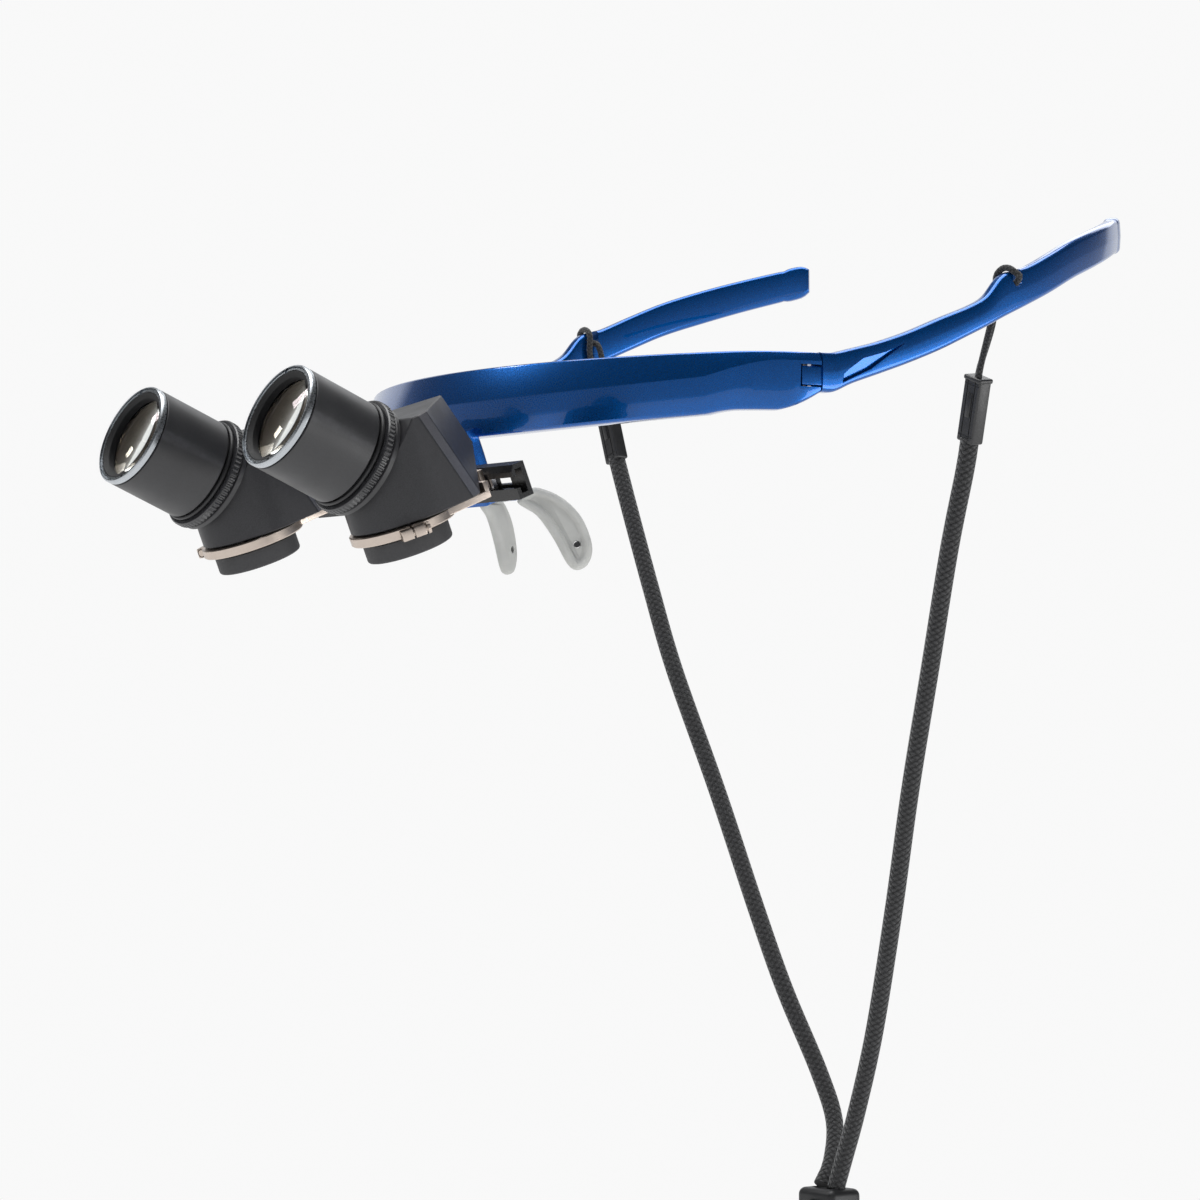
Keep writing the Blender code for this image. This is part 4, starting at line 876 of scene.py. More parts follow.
NOTCH_FLOOR_Z = 45.6
NOTCH_WIDTH = 2.4
TONGUE_FACE = (71.35, 71.95, 72.1, 72.15)
TONGUE_ROUND = 0.25
LEAF_OUTLINE = ((24.0, 23.6), (24.3, 25.3), (25.5, 26.3), (29.1, 28.7), (34.7, 30.3), (39.7, 32.4),
                (37.7, 31.1), (31.1, 26.7))
LEAF_RIDGE = (25.5, 26.3, 0.43)
LEAF_LEAN = 0.28
OUTER_FACE = (24.0, 72.4, 0.05)


def edge_heights(edges, back):
    """Lower and upper edge at a distance back, between the points of a fine curve."""
    for first, second in zip(edges, edges[1:]):
        if back <= second.x:
            share = max(0.0, (back - first.x) / (second.x - first.x))
            return first.y + (second.y - first.y) * share, first.z + (second.z - first.z) * share
    return edges[-1].y, edges[-1].z


def temple_rings(side):
    """Sections along the temple, finer than its stations, with round corners and a rounded tip."""
    plan = smooth_route([(side * x, y, 0.0) for x, y, _, _ in TEMPLE_STATIONS], 1.0)
    edges = smooth_route([(y, low, high) for _, y, low, high in TEMPLE_STATIONS], 0.8)
    edge = sizes().edge_round
    rings = []
    for index, spot in enumerate(plan):
        along = plan[min(index + 1, len(plan) - 1)] - plan[max(index - 1, 0)]
        across = Vector((along.y, -along.x, 0.0)).normalized() * side
        low, high = edge_heights(edges, spot.y)
        part = min((spot.y - TEMPLE_STATIONS[0][1]) / ROOT_TAPER, 1.0)
        shrink = TIP_SHRINK.get(len(plan) - 1 - index, 1.0)
        half = (TEMPLE_ROOT_THICK + (TEMPLE_THICK - TEMPLE_ROOT_THICK) * part) / 2 * shrink
        middle = (low + high) / 2
        low = middle + (low - middle) * shrink
        high = middle + (high - middle) * shrink
        corners = ((half, low, edge * shrink), (half * TEMPLE_CROWN, middle, TEMPLE_CROWN_ROUND),
                   (half, high, edge * shrink), (-half, high, edge * shrink), (-half, low, edge * shrink))
        rings.append([spot + across * point.x + Vector((0.0, 0.0, point.y))
                      for point in rounded_outline(corners)])
    return rings


def recess_mesh(side):
    """Cutter for the leaf-shaped facet behind the hinge, deeper towards its lower edge."""
    ridge_back, ridge_up, ridge_slope = LEAF_RIDGE
    face_back, face_out, face_slope = OUTER_FACE
    rings = []
    for reach in (0.0, 4.0):
        ring = []
        for back, up in LEAF_OUTLINE:
            below = ridge_up + ridge_slope * (back - ridge_back) - up
            outer = face_out + face_slope * (back - face_back)
            depth = sizes().recess_depth + LEAF_LEAN * below
            ring.append((side * (outer - depth + reach), back, up))
        rings.append(ring)
    return loft_mesh("recess", rings)


def tongue_mesh(side):
    """Finger of the temple between the arm's two leaves, flush with the faces on both sides of it."""
    pin = hinge_place(side)
    inner = pin.x - side * HINGE_BOSS_RADIUS
    low = TONGUE_MID_Z - TONGUE_HEIGHT / 2
    high = TONGUE_MID_Z + TONGUE_HEIGHT / 2
    rings = []
    for back, outer in zip((pin.y - TONGUE_REACH, pin.y, ARM_END_Y, ARM_END_Y + 1.5), TONGUE_FACE):
        corners = ((side * outer, low), (side * outer, high), (inner, high), (inner, low))
        outline = rounded_outline([(*corner, TONGUE_ROUND) for corner in corners])
        rings.append([(spot.x, back, spot.y) for spot in outline])
    return loft_mesh("tongue", rings)


def temple_mesh(side):
    pin = hinge_place(side)
    floor = Vector((side * NOTCH_X, NOTCH_Y, NOTCH_FLOOR_Z + NOTCH_WIDTH / 2))
    reach = Vector((6.0, NOTCH_WIDTH / 2, 0.0))
    cuts = [
        rod_mesh("pin_hole", HINGE_HOLE_RADIUS, 10.0, 40.0, Matrix.Translation(pin)),
        rod_mesh("notch", NOTCH_WIDTH / 2, -6.0, 6.0, Matrix.Translation(floor) @ LAID_ALONG_X),
        box_mesh("notch_mouth", floor - reach, floor + reach + Vector((0.0, 0.0, 8.0))),
        recess_mesh(side),
    ]
    return joined("temple", loft_mesh("temple", temple_rings(side)), (tongue_mesh(side),), cuts)


class LOUPES_OT_temples(bpy.types.Operator):
    """Lacquered temples with their notches and hinge recesses"""

    bl_idname = "loupes.temples"
    bl_label = "Temples"

    def execute(self, context):
        for side, name in SIDES:
            add_piece(f"temple_{name}_lacquered", temple_mesh(side), f"temple_{name}", "lacquer",
                      (f"temple_{name}",), smooth_angle=30.0)
        return {"FINISHED"}


# Loupe sizes in millimetres: along the barrel they are counted from the point where the axes cross
RIM_REACH = 27.1
BARREL_RADIUS = 10.75
BARREL_BORE = 8.2
BARREL_FROM = 9.0
BARREL_TO = 25.5
COLLAR_FROM = 5.7
COLLAR_TO = 6.7
COLLAR_RADIUS = 11.5
SPIGOT_RADIUS = 9.4
LENS_SHOULDER = 21.3
LENS_SEAT_RADIUS = 9.9
LENS_RADIUS = 9.6
LENS_EDGE = (22.2, 22.7)
LENS_BACK = 21.5
OBJECTIVE_FACE = (8.4, 24.9, 26.2)
RETAINER_FROM = 25.8
RETAINER_INNER = 9.0
LAND_RADIUS = 10.02
RETAINER_SPIGOT = 24.2
FOCUS_RADIUS = 11.9
FOCUS_FROM = 7.0
FOCUS_TO = 8.7
BAFFLE_OUTER = 8.94
BAFFLE_INNER = 8.45
RIB_DEPTH = 0.4
GRIP_RADIUS = 0.4

HOUSING_HALF_WIDTH = 11.9
HOUSING_TOP = 10.0
HOUSING_BOTTOM = 9.2
HOUSING_FRONT = 5.4
HOUSING_WALL = 1.5
UNDERCUT_LEAN = math.radians(50.0)
UNDERCUT_REACH = 15.0
RIDGE_AT_TOP = 18.3
RIDGE_LEAN = math.radians(18.0)
ROOF_SLOPE = math.radians(46.0)
STRIP_DEPTH = 0.6
BASE_RADIUS = 10.1
BASE_SWEEP = math.radians(54.0)
BASE_FACETS = 36
FLANK_ROUND = 12.0
FLANK_FACETS = 8

CLAMP_TOP = -9.5
CLAMP_FOOT = -11.5
CLAMP_RADIUS = 10.7
NECK_BORE = 8.3
TONGUE_INBOARD = 3.5
ARM_WIDTH = 7.0
SHELF = (9.4, 4.0, 15.85, 1.5)
UPSTAND_IN = 4.0
UPSTAND_RISE = 1.9
TAB = (20.8, 21.95)
TAB_RISE = 2.6
PLATE_ROUND = 0.18
PLATE_TONGUE = (2.2, 24.15, -11.3, -9.7)
LUG_TURN = math.radians(25.0)
LUG_REACH = 2.0
LUG_LENGTH = 5.0
SPLIT_WIDTH = 0.4
CLAMP_HOLE_RADIUS = 0.9
CUP_TOP = -11.8
CUP_FOOT = -15.7
CUP_RADIUS = 8.75
CUP_BORE = 6.0
NECK_RADIUS = 8.0
EYE_SEAT = 7.2
EYE_SHOULDER = CUP_TOP - 0.6


def loupe_place(side):
    return CARRIER @ Matrix.Translation((side * HALF_SPACING, 0.0, 0.0))


def barrel_place(side):
    return in_metres(loupe_place(side) @ Matrix.Rotation(DEFLECTION, 4, "X"))


def barrel_mesh():
    """Smooth tube with a groove at its root, a bevelled front edge and a seat for the lens."""
    outer = BARREL_RADIUS
    groove = BARREL_FROM + 2 * GRIP_RADIUS + 0.3
    profile = [
        (outer - 0.12, BARREL_TO), (outer, BARREL_TO - 0.12), (outer, groove + 0.25), (outer - 0.25, groove),
        (SPIGOT_RADIUS, groove), (SPIGOT_RADIUS, COLLAR_FROM), (BARREL_BORE, COLLAR_FROM),
        (BARREL_BORE, LENS_SHOULDER), (LENS_SEAT_RADIUS, LENS_SHOULDER), (LENS_SEAT_RADIUS, BARREL_TO),
    ]
    return lathe_mesh("barrel", profile, ROUND_STEPS)


def grip_ring_mesh():
    """Round-section ring in the groove behind the barrel."""
    middle = BARREL_RADIUS - GRIP_RADIUS + 0.3
    height = BARREL_FROM + GRIP_RADIUS
    angles = [math.tau * step / 14 for step in range(14)]
    profile = [(middle + GRIP_RADIUS * math.cos(angle), height + GRIP_RADIUS * math.sin(angle))
               for angle in reversed(angles)]
    return lathe_mesh("grip_ring", profile, ROUND_STEPS)


def collar_mesh():
    """Collar with a narrower foot that stands on the housing."""
    outer = COLLAR_RADIUS
    inner = SPIGOT_RADIUS + GAP
    foot = outer - 0.45
    low = HOUSING_FRONT - 0.05
    profile = [
        (outer - 0.2, COLLAR_TO), (outer, COLLAR_TO - 0.2), (outer, COLLAR_FROM), (foot, COLLAR_FROM - 0.05),
        (foot, low), (inner, low), (inner, COLLAR_TO),
    ]
    return lathe_mesh("collar", profile, ROUND_STEPS)


def retaining_mesh():
    """Rim ring: a narrow bevelled lip, a fine groove, and a land with two spanner slots."""
    outer = BARREL_RADIUS
    top = RIM_REACH
    land = LAND_RADIUS
    profile = [
        (outer - 0.34, top), (outer - 0.08, top - 0.22), (outer, top - 0.4), (outer, RETAINER_FROM + 0.1),
        (outer - 0.1, RETAINER_FROM), (LENS_RADIUS, RETAINER_FROM), (LENS_RADIUS, RETAINER_SPIGOT),
        (RETAINER_INNER, RETAINER_SPIGOT), (RETAINER_INNER, top - 0.8), (LENS_RADIUS, top - 0.8),
        (LENS_RADIUS, top - 0.25), (land, top - 0.25), (land, top - 0.7), (land + 0.22, top - 0.7),
        (land + 0.22, top),
    ]
    slots = []
    for angle in (sizes().slot_angle, sizes().slot_angle + math.pi):
        slot = box_mesh("slot", (LENS_RADIUS - 0.3, -0.4, top - 0.75), (land + 0.1, 0.4, top + 0.4))
        slot.transform(Matrix.Rotation(angle, 4, "Z"))
        slots.append(slot)
    return joined("retaining_ring", lathe_mesh("retaining_ring", profile, ROUND_STEPS), (), slots)


def knurled_mesh():
    """Focus ring whose outer wall is cut into square ridges between two plain rims."""
    rim = 0.18
    wall = FOCUS_RADIUS
    profile = [
        (wall - 0.3, FOCUS_TO), (wall - 0.05, FOCUS_TO - rim), (wall, FOCUS_TO - rim - 0.08),
        (wall, FOCUS_FROM + rim + 0.08), (wall - 0.05, FOCUS_FROM + rim), (wall - 0.3, FOCUS_FROM),
        (SPIGOT_RADIUS + GAP, FOCUS_FROM), (SPIGOT_RADIUS + GAP, FOCUS_TO),
    ]
    depth = sizes().knurl_depth

    def ridged(radius, step):
        return radius - depth if radius == wall and step % 4 in (2, 3) else radius

    return lathe_mesh("knurled_ring", profile, sizes().knurls * 4, ridged)


def baffle_mesh():
    """Black ribbed funnel in the mouth of the barrel, from inside the rim's land to the lens."""
    ribs = sizes().baffle_ribs
    lip = RIM_REACH - 0.35
    step = RIM_REACH - 0.75
    foot = RETAINER_SPIGOT - 0.5
    wide = LENS_RADIUS - 0.05
    pitch = (step - foot) / ribs
    inner = []
    for index in range(ribs):
        high = step - pitch * index
        inner.append((BAFFLE_INNER + RIB_DEPTH, high))
        inner.append((BAFFLE_INNER, high - pitch * 0.8))
    profile = [(BAFFLE_OUTER, foot), (BAFFLE_OUTER, step), (wide, step), (wide, lip), (wide - 0.2, lip),
               *inner, (BAFFLE_INNER + RIB_DEPTH, foot)]
    return lathe_mesh("ribbed_baffle", profile, ROUND_STEPS)


def dome(radius, edge, crown):
    """Profile points of a spherical face from the edge in to just short of the axis."""
    steps = 10
    rise = crown - edge
    ball = (radius * radius + rise * rise) / (2 * abs(rise))
    points = []
    for step in range(steps):
        across = radius * (1.0 - step / steps)
        sag = ball - math.sqrt(ball * ball - across * across)
        points.append((across, crown - math.copysign(sag, rise)))
    points.append((0.02, crown))
    return points


def objective_mesh():
    """Cemented objective: a seated element, and on it a smaller one with the bulging front face."""
    radius, edge, crown = OBJECTIVE_FACE
    profile = [*reversed(dome(radius, edge, crown)), (radius, LENS_EDGE[1]), (LENS_RADIUS, LENS_EDGE[1]),
               *dome(LENS_RADIUS, LENS_EDGE[0], LENS_BACK)]
    return lathe_mesh("objective", profile, 64)


class LOUPES_OT_barrels(bpy.types.Operator):
    """Objective barrels with knurled focus rings, ribbed mouths, rim rings and coated lenses"""

    bl_idname = "loupes.barrels"
    bl_label = "Barrels"

    def execute(self, context):
        for side, name in SIDES:
            turns = f"focus_{name}"
            place = barrel_place(side)
            pieces = (
                ("objective_barrel", "turned", barrel_mesh(), "anodised", turns),
                ("grip_ring", "round", grip_ring_mesh(), "ring", turns),
                ("focus_ring", "knurled", knurled_mesh(), "knurl", turns),
                ("retaining_ring", "slotted", retaining_mesh(), "silver", turns),
                ("objective_lens", "coated", objective_mesh(), "lens", turns),
                ("barrel_collar", "turned", collar_mesh(), "anodised", f"loupe_{name}"),
            )
            for piece, look, mesh, material, body in pieces:
                add_piece(f"{piece}_{name}_{look}", mesh, body, material, (f"{piece}_{name}",), place,
                          TURNED_ANGLE)
            add_piece(f"barrel_baffle_{name}", baffle_mesh(), turns, "baffle", (), place, TURNED_ANGLE)
        return {"FINISHED"}


def roof_normals():
    """Outward normals of one half of the roof and of the strip along its edge, on the +X side."""
    roof = Vector((math.sin(ROOF_SLOPE), math.cos(ROOF_SLOPE) * math.cos(RIDGE_LEAN),
                   math.cos(ROOF_SLOPE) * math.sin(RIDGE_LEAN)))
    return roof, (roof + Vector((1.0, 0.0, 0.0))).normalized()


def flank_planes():
    """Facets that round the corner between the round front of the base and the flat flanks."""
    half = (math.pi / 2 - BASE_SWEEP) / 2
    corner = Vector((HOUSING_HALF_WIDTH, (math.sin(BASE_SWEEP) * HOUSING_HALF_WIDTH - BASE_RADIUS)
                     / math.cos(BASE_SWEEP), 0.0))
    middle = BASE_SWEEP + half
    centre = corner - Vector((math.sin(middle), -math.cos(middle), 0.0)) * (FLANK_ROUND / math.cos(half))
    planes = []
    for index in range(1, FLANK_FACETS):
        angle = BASE_SWEEP + 2 * half * index / FLANK_FACETS
        normal = Vector((math.sin(angle), -math.cos(angle), 0.0))
        distance = centre.dot(normal) + FLANK_ROUND
        planes.append((normal, distance))
        planes.append((Vector((-normal.x, normal.y, 0.0)), distance))
    return planes


def housing_planes(inset, facets):
    """Outward normals and distances of the housing's faces, in the loupe's own frame."""
    roof, strip = roof_normals()
    roof_reach = roof.dot(Vector((0.0, RIDGE_AT_TOP, HOUSING_TOP)))
    edge_back = (roof_reach - roof.x * HOUSING_HALF_WIDTH - roof.z * HOUSING_TOP) / roof.y
    strip_reach = strip.dot(Vector((HOUSING_HALF_WIDTH, edge_back, HOUSING_TOP))) - STRIP_DEPTH
    planes = [
        (Vector((0.0, 0.0, 1.0)), HOUSING_TOP),
        (Vector((0.0, 0.0, -1.0)), HOUSING_BOTTOM),
        (Vector((0.0, math.cos(UNDERCUT_LEAN), -math.sin(UNDERCUT_LEAN))), UNDERCUT_REACH),
        (Vector((0.0, -math.sin(DEFLECTION), math.cos(DEFLECTION))), HOUSING_FRONT),
    ]
    for side, _ in SIDES:
        planes.append((Vector((side, 0.0, 0.0)), HOUSING_HALF_WIDTH))
        planes.append((Vector((side * roof.x, roof.y, roof.z)), roof_reach))
        planes.append((Vector((side * strip.x, strip.y, strip.z)), strip_reach))
    for index in range(facets + 1):
        angle = BASE_SWEEP * (2.0 * index / facets - 1.0)
        planes.append((Vector((math.sin(angle), -math.cos(angle), 0.0)), BASE_RADIUS))
    planes += flank_planes()
    return [(normal, distance - inset) for normal, distance in planes]


def sliced_mesh(name, planes, bevel=0.0):
    """What is left of a large block behind every plane, with its sharp edges rounded."""
    def build(grid):
        bmesh.ops.create_cube(grid, size=80.0 * MM)
        for normal, distance in planes:
            everything = [*grid.verts, *grid.edges, *grid.faces]
            cut = bmesh.ops.bisect_plane(grid, geom=everything, plane_co=normal * distance * MM,
                                         plane_no=normal, clear_outer=True, dist=1e-7)
            rim = [item for item in cut["geom_cut"] if isinstance(item, bmesh.types.BMEdge)]
            if rim:
                bmesh.ops.holes_fill(grid, edges=rim, sides=0)
        bmesh.ops.remove_doubles(grid, verts=grid.verts[:], dist=1e-6)
        bmesh.ops.recalc_face_normals(grid, faces=grid.faces[:])
        if bevel:
            sharp = [edge for edge in grid.edges if edge.calc_face_angle(0.0) > math.radians(12.0)]
            bmesh.ops.bevel(grid, geom=sharp, offset=bevel * MM, offset_type="OFFSET", segments=1,
                            affect="EDGES", clamp_overlap=True)

    return mesh_from(name, build)


def housing_mesh():
    body = sliced_mesh("housing", housing_planes(0.0, BASE_FACETS), sizes().housing_round)
    hollow = sliced_mesh("hollow", housing_planes(HOUSING_WALL, 6))
    tilt = Matrix.Rotation(DEFLECTION, 4, "X")
    ports = [rod_mesh("barrel_port", BARREL_BORE, 0.0, HOUSING_FRONT + 2.0, tilt, 48),
             rod_mesh("eye_port", CUP_BORE, -HOUSING_BOTTOM - 2.0, 0.0, Matrix.Identity(4), 48)]
    return joined("housing", body, (), (hollow, *ports))


def mark_strips(mesh):
    """Give the two strips along the roof their own finish, the housing's black painted lighter as a
    highlight.
    """
    _, strip = roof_normals()
    # the strip finish is a painted highlight
    mesh.materials.append(finish("strip"))
    for face in mesh.polygons:
        if face.normal.dot(Vector((math.copysign(strip.x, face.normal.x), strip.y, strip.z))) > 0.997:
            face.material_index = 1


def between(side, first, second):
    return sorted((side * first, side * second))


def clamp_mesh(side):
    """Ring round the eyepiece neck, shelf under the housing, and the arm and tongue into the rail."""
    ring = lathe_mesh("clamp_ring", [
        (CLAMP_RADIUS - 0.2, CLAMP_TOP), (CLAMP_RADIUS, CLAMP_TOP - 0.2), (CLAMP_RADIUS, CLAMP_FOOT + 0.25),
        (CLAMP_RADIUS - 0.25, CLAMP_FOOT), (NECK_BORE, CLAMP_FOOT), (NECK_BORE, CLAMP_TOP)], ROUND_STEPS)
    shelf_out, shelf_front, shelf_back, shelf_thick = SHELF
    tongue_half, tongue_end, tongue_low, tongue_high = PLATE_TONGUE
    inboard = -TONGUE_INBOARD - ARM_WIDTH / 2
    shelf_low, shelf_high = between(side, inboard, shelf_out)
    stand_low, stand_high = between(side, UPSTAND_IN, shelf_out)
    arm_low, arm_high = between(side, inboard, -TONGUE_INBOARD + ARM_WIDTH / 2)
    tongue_from, tongue_to = between(side, -TONGUE_INBOARD - tongue_half, -TONGUE_INBOARD + tongue_half)
    foot = CLAMP_TOP - shelf_thick
    thick = TAB[1] - TAB[0]
    shelf = box_mesh("shelf", (shelf_low, shelf_front, foot), (shelf_high, shelf_back, CLAMP_TOP),
                     PLATE_ROUND)
    bore = rod_mesh("neck_bore", NECK_BORE + 0.02, CLAMP_FOOT - 1.0, CLAMP_TOP + 1.0, Matrix.Identity(4),
                    ROUND_STEPS)
    turn = Matrix.Rotation(-side * LUG_TURN, 4, "Z")
    lug_low, lug_high = between(side, CLAMP_RADIUS - 1.2, CLAMP_RADIUS + LUG_REACH)
    lug = box_mesh("lug", (lug_low, -LUG_LENGTH / 2, CLAMP_FOOT - 0.4),
                   (lug_high, LUG_LENGTH / 2, CLAMP_TOP - 0.3), 0.25)
    split_low, split_high = between(side, NECK_BORE - 2.0, CLAMP_RADIUS + 2 * LUG_REACH)
    split = box_mesh("split", (split_low, -SPLIT_WIDTH / 2, CLAMP_FOOT - 2.0),
                     (split_high, SPLIT_WIDTH / 2, CLAMP_TOP + 1.0))
    lug.transform(turn)
    split.transform(turn)
    hole_height = (CLAMP_TOP + CLAMP_FOOT) / 2 - 0.35
    across = Matrix.Translation((side * (CLAMP_RADIUS + LUG_REACH / 2), 0.0, hole_height))
    hole = rod_mesh("lug_hole", CLAMP_HOLE_RADIUS, -LUG_LENGTH, LUG_LENGTH,
                    turn @ across @ Matrix.Rotation(math.radians(-90.0), 4, "X"), 24)
    additions = (
        joined("shelf", shelf, (), (bore,)),
        box_mesh("upstand", (stand_low, shelf_back - thick, CLAMP_TOP - 0.4),
                 (stand_high, shelf_back - 0.01, CLAMP_TOP + UPSTAND_RISE), PLATE_ROUND),
        box_mesh("arm", (arm_low, shelf_back - 2 * thick, foot),
                 (arm_high, TAB[0] + thick / 2, CLAMP_TOP), 0.15),
        box_mesh("tab", (arm_low, TAB[0], tongue_low), (arm_high, TAB[1], CLAMP_TOP + TAB_RISE), PLATE_ROUND),
        box_mesh("tongue", (tongue_from, TAB[0], tongue_low), (tongue_to, tongue_end, tongue_high)),
        lug,
    )
    return joined("clamp_plate", ring, additions, (split, hole))


def cup_mesh():
    """Soft drum round the eyepiece lens, on a neck through the clamp plate, with a rounded foot."""
    outer = CUP_RADIUS
    profile = [
        (NECK_RADIUS, CLAMP_TOP), (NECK_RADIUS, CUP_TOP), (outer - 0.25, CUP_TOP), (outer, CUP_TOP - 0.25),
        (outer, CUP_FOOT + 0.6), (outer - 0.06, CUP_FOOT + 0.36), (outer - 0.24, CUP_FOOT + 0.14),
        (outer - 0.6, CUP_FOOT), (EYE_SEAT + 0.3, CUP_FOOT), (EYE_SEAT, CUP_FOOT + 0.3),
        (EYE_SEAT, EYE_SHOULDER), (CUP_BORE, EYE_SHOULDER), (CUP_BORE, CLAMP_TOP),
    ]
    return lathe_mesh("eyepiece_cup", profile, ROUND_STEPS)


class LOUPES_OT_housings(bpy.types.Operator):
    """Prism housings with chamfered roofs, and the clamp plates that carry them"""

    bl_idname = "loupes.housings"
    bl_label = "Housings"

    def execute(self, context):
        for side, name in SIDES:
            body = f"loupe_{name}"
            place = in_metres(loupe_place(side))
            housing = add_piece(f"prism_housing_{name}_chamfered", housing_mesh(), body, "housing",
                                (f"prism_housing_{name}",), place, 6.0)
            mark_strips(housing.data)
            add_piece(f"clamp_plate_{name}_broken", clamp_mesh(side), body, "champagne",
                      (f"clamp_plate_{name}",), place, 30.0)
            dress(f"roof_prism_{name}", "prism")
            add_piece(f"eyepiece_cup_{name}_soft", cup_mesh(), body, "rubber", (f"eyepiece_cup_{name}",),
                      place, TURNED_ANGLE)
            dress(f"eyepiece_lens_{name}", "lens")
            dress(f"clamp_screw_{name}", "champagne")
            dress(f"carriage_{name}", "steel")
        return {"FINISHED"}


class LOUPES_OT_rail(bpy.types.Operator):
    """Black rail with its flip bracket, pins, screws and detent spring"""

    bl_idname = "loupes.rail"
    bl_label = "Rail and Flip Hinge"

    def execute(self, context):
        dress("rail", "rail", 0.15)
        dress("flip_bracket", "moulded", 0.12)
        for name in ("flip_pin", "detent_spring"):
            dress(name, "steel")
        for _, name in SIDES:
            dress(f"rail_screw_{name}", "steel")
            dress(f"hinge_pin_{name}", "steel")
        return {"FINISHED"}


# Nose pads: outline in the pad's plane, measured from its screw, in millimetres
PAD_SCREW_AT = Vector((12.5, 2.5, -6.6))
PAD_SPLAY = math.radians(30.0)
PAD_OUTLINE = (
    (-12.4, 8.8), (-9.6, 11.6), (-6.2, 11.2), (-2.4, 9.2), (0.8, 5.9), (2.7, 1.8),
    (3.2, -1.5), (2.2, -4.2), (0.0, -5.3), (-2.0, -4.0), (-4.9, 1.2), (-8.3, 5.9),
)
PAD_HOLE_RADIUS = 0.75
# Layers of a pad from its rim: inset and height
PAD_OUTER_LAYERS = ((0.0, 0.0), (0.08, 0.5), (0.3, 0.9), (0.7, 1.2), (1.15, 1.25), (1.5, 1.1), (1.8, 0.7),
                    (2.1, 0.45))
PAD_INNER_LAYERS = ((0.08, -0.5), (0.3, -0.9), (0.8, -1.15), (1.5, -1.25))


def pad_mesh(side):
    outline = smooth_route([(*point, 0.0) for point in PAD_OUTLINE], 0.9, closed=True)
    count = len(outline)
    inward = []
    for index in range(count):
        along = outline[(index + 1) % count] - outline[index - 1]
        inward.append(Vector((along.y, -along.x, 0.0)).normalized())
    middle = sum(outline, Vector()) / count
    if sum((middle - outline[index]).dot(inward[index]) for index in range(count)) < 0.0:
        inward = [-way for way in inward]

    def build(grid):
        def layer(inset, height):
            rise = Vector((0.0, 0.0, side * height))
            return [grid.verts.new((spot + way * inset + rise) * MM) for spot, way in zip(outline, inward)]

        def skin(first, second):
            for index in range(count):
                after = (index + 1) % count
                grid.faces.new((first[index], first[after], second[after], second[index]))

        rim = layer(*PAD_OUTER_LAYERS[0])
        for layers in (PAD_OUTER_LAYERS[1:], PAD_INNER_LAYERS):
            last = rim
            for inset, height in layers:
                ring = layer(inset, height)
                skin(last, ring)
                last = ring
            grid.faces.new(last)

    return mesh_from("pad", build)


class LOUPES_OT_nose_pads(bpy.types.Operator):
    """Soft nose pads with a lipped outer face, and the screws in them"""

    bl_idname = "loupes.nose_pads"
    bl_label = "Nose Pads"

    def execute(self, context):
        for side, name in SIDES:
            along = Vector((side * math.sin(PAD_SPLAY), math.cos(PAD_SPLAY), 0.0))
            up = Vector((0.0, 0.0, 1.0))
            place = Matrix((along, up, along.cross(up))).transposed().to_4x4()
            place.translation = Vector((side * PAD_SCREW_AT.x, PAD_SCREW_AT.y, PAD_SCREW_AT.z))
            hole = rod_mesh("screw_hole", PAD_HOLE_RADIUS, -4.0, 4.0, Matrix.Identity(4), 24)
            pad = joined("pad", pad_mesh(side), (), (hole,))
            add_piece(f"nose_pad_{name}_soft", pad, "frame", "pad", (f"nose_pad_{name}",), in_metres(place),
                      smooth_angle=50.0)
            # the screw takes the black moulded finish: painted shade for the dark screw hole in the pad
            dress(f"nose_pad_screw_{name}", "moulded")
        return {"FINISHED"}


# Neck strap: route points in millimetres
SLEEVE_SIZE = (5.0, 3.2, 14.0)
SLEEVE_ENDS = {
    "left": (Vector((69.0, 63.0, 27.3)), Vector((64.2, 64.6, 14.0))),
    "right": (Vector((-70.6, 71.3, 31.6)), Vector((-65.8, 71.1, 18.3))),
}
CORD_ROUTES = {
    "left": ((62.2, 65.2, 8.7), (55.6, 66.6, -7.5), (46.0, 69.6, -32.0), (36.1, 72.6, -57.4),
             (26.2, 76.4, -83.0), (15.9, 79.7, -109.4), (9.1, 80.4, -127.1), (4.6, 80.4, -138.0),
             (2.4, 80.0, -144.3)),
    "right": ((-61.3, 71.4, 6.9), (-53.8, 72.0, -12.0), (-46.7, 73.2, -30.4), (-36.1, 77.2, -57.8),
              (-25.5, 80.2, -84.7), (-18.7, 82.8, -102.4), (-11.6, 86.6, -120.0), (-6.8, 87.2, -131.0),
              (-3.2, 83.4, -139.5), (-2.4, 80.0, -144.3)),
}
TAIL_ROUTE = ((2.4, 80.0, -162.0), (2.6, 80.0, -166.0), (6.0, 80.0, -177.0), (8.9, 80.0, -189.0),
              (7.2, 80.0, -198.0), (0.0, 80.0, -202.2))
CORD_STEP = 2.2
HOOK_TOP_Z = 48.5
STRING_APART = (0.55, -0.4)
STRING_CLEAR = 0.35
STRING_LOW_Z = 37.0
STRING_STEP = 0.7
STRING_SIDES = 12
CORD_SIDES = 20
CORD_START = 1.2


def sleeve_place(name):
    top, foot = SLEEVE_ENDS[name]
    axis = (foot - top).normalized()
    wide = Vector((0.0, 1.0, 0.0)).cross(axis).normalized()
    place = Matrix((wide, axis.cross(wide), axis)).transposed().to_4x4()
    place.translation = top
    return place, axis


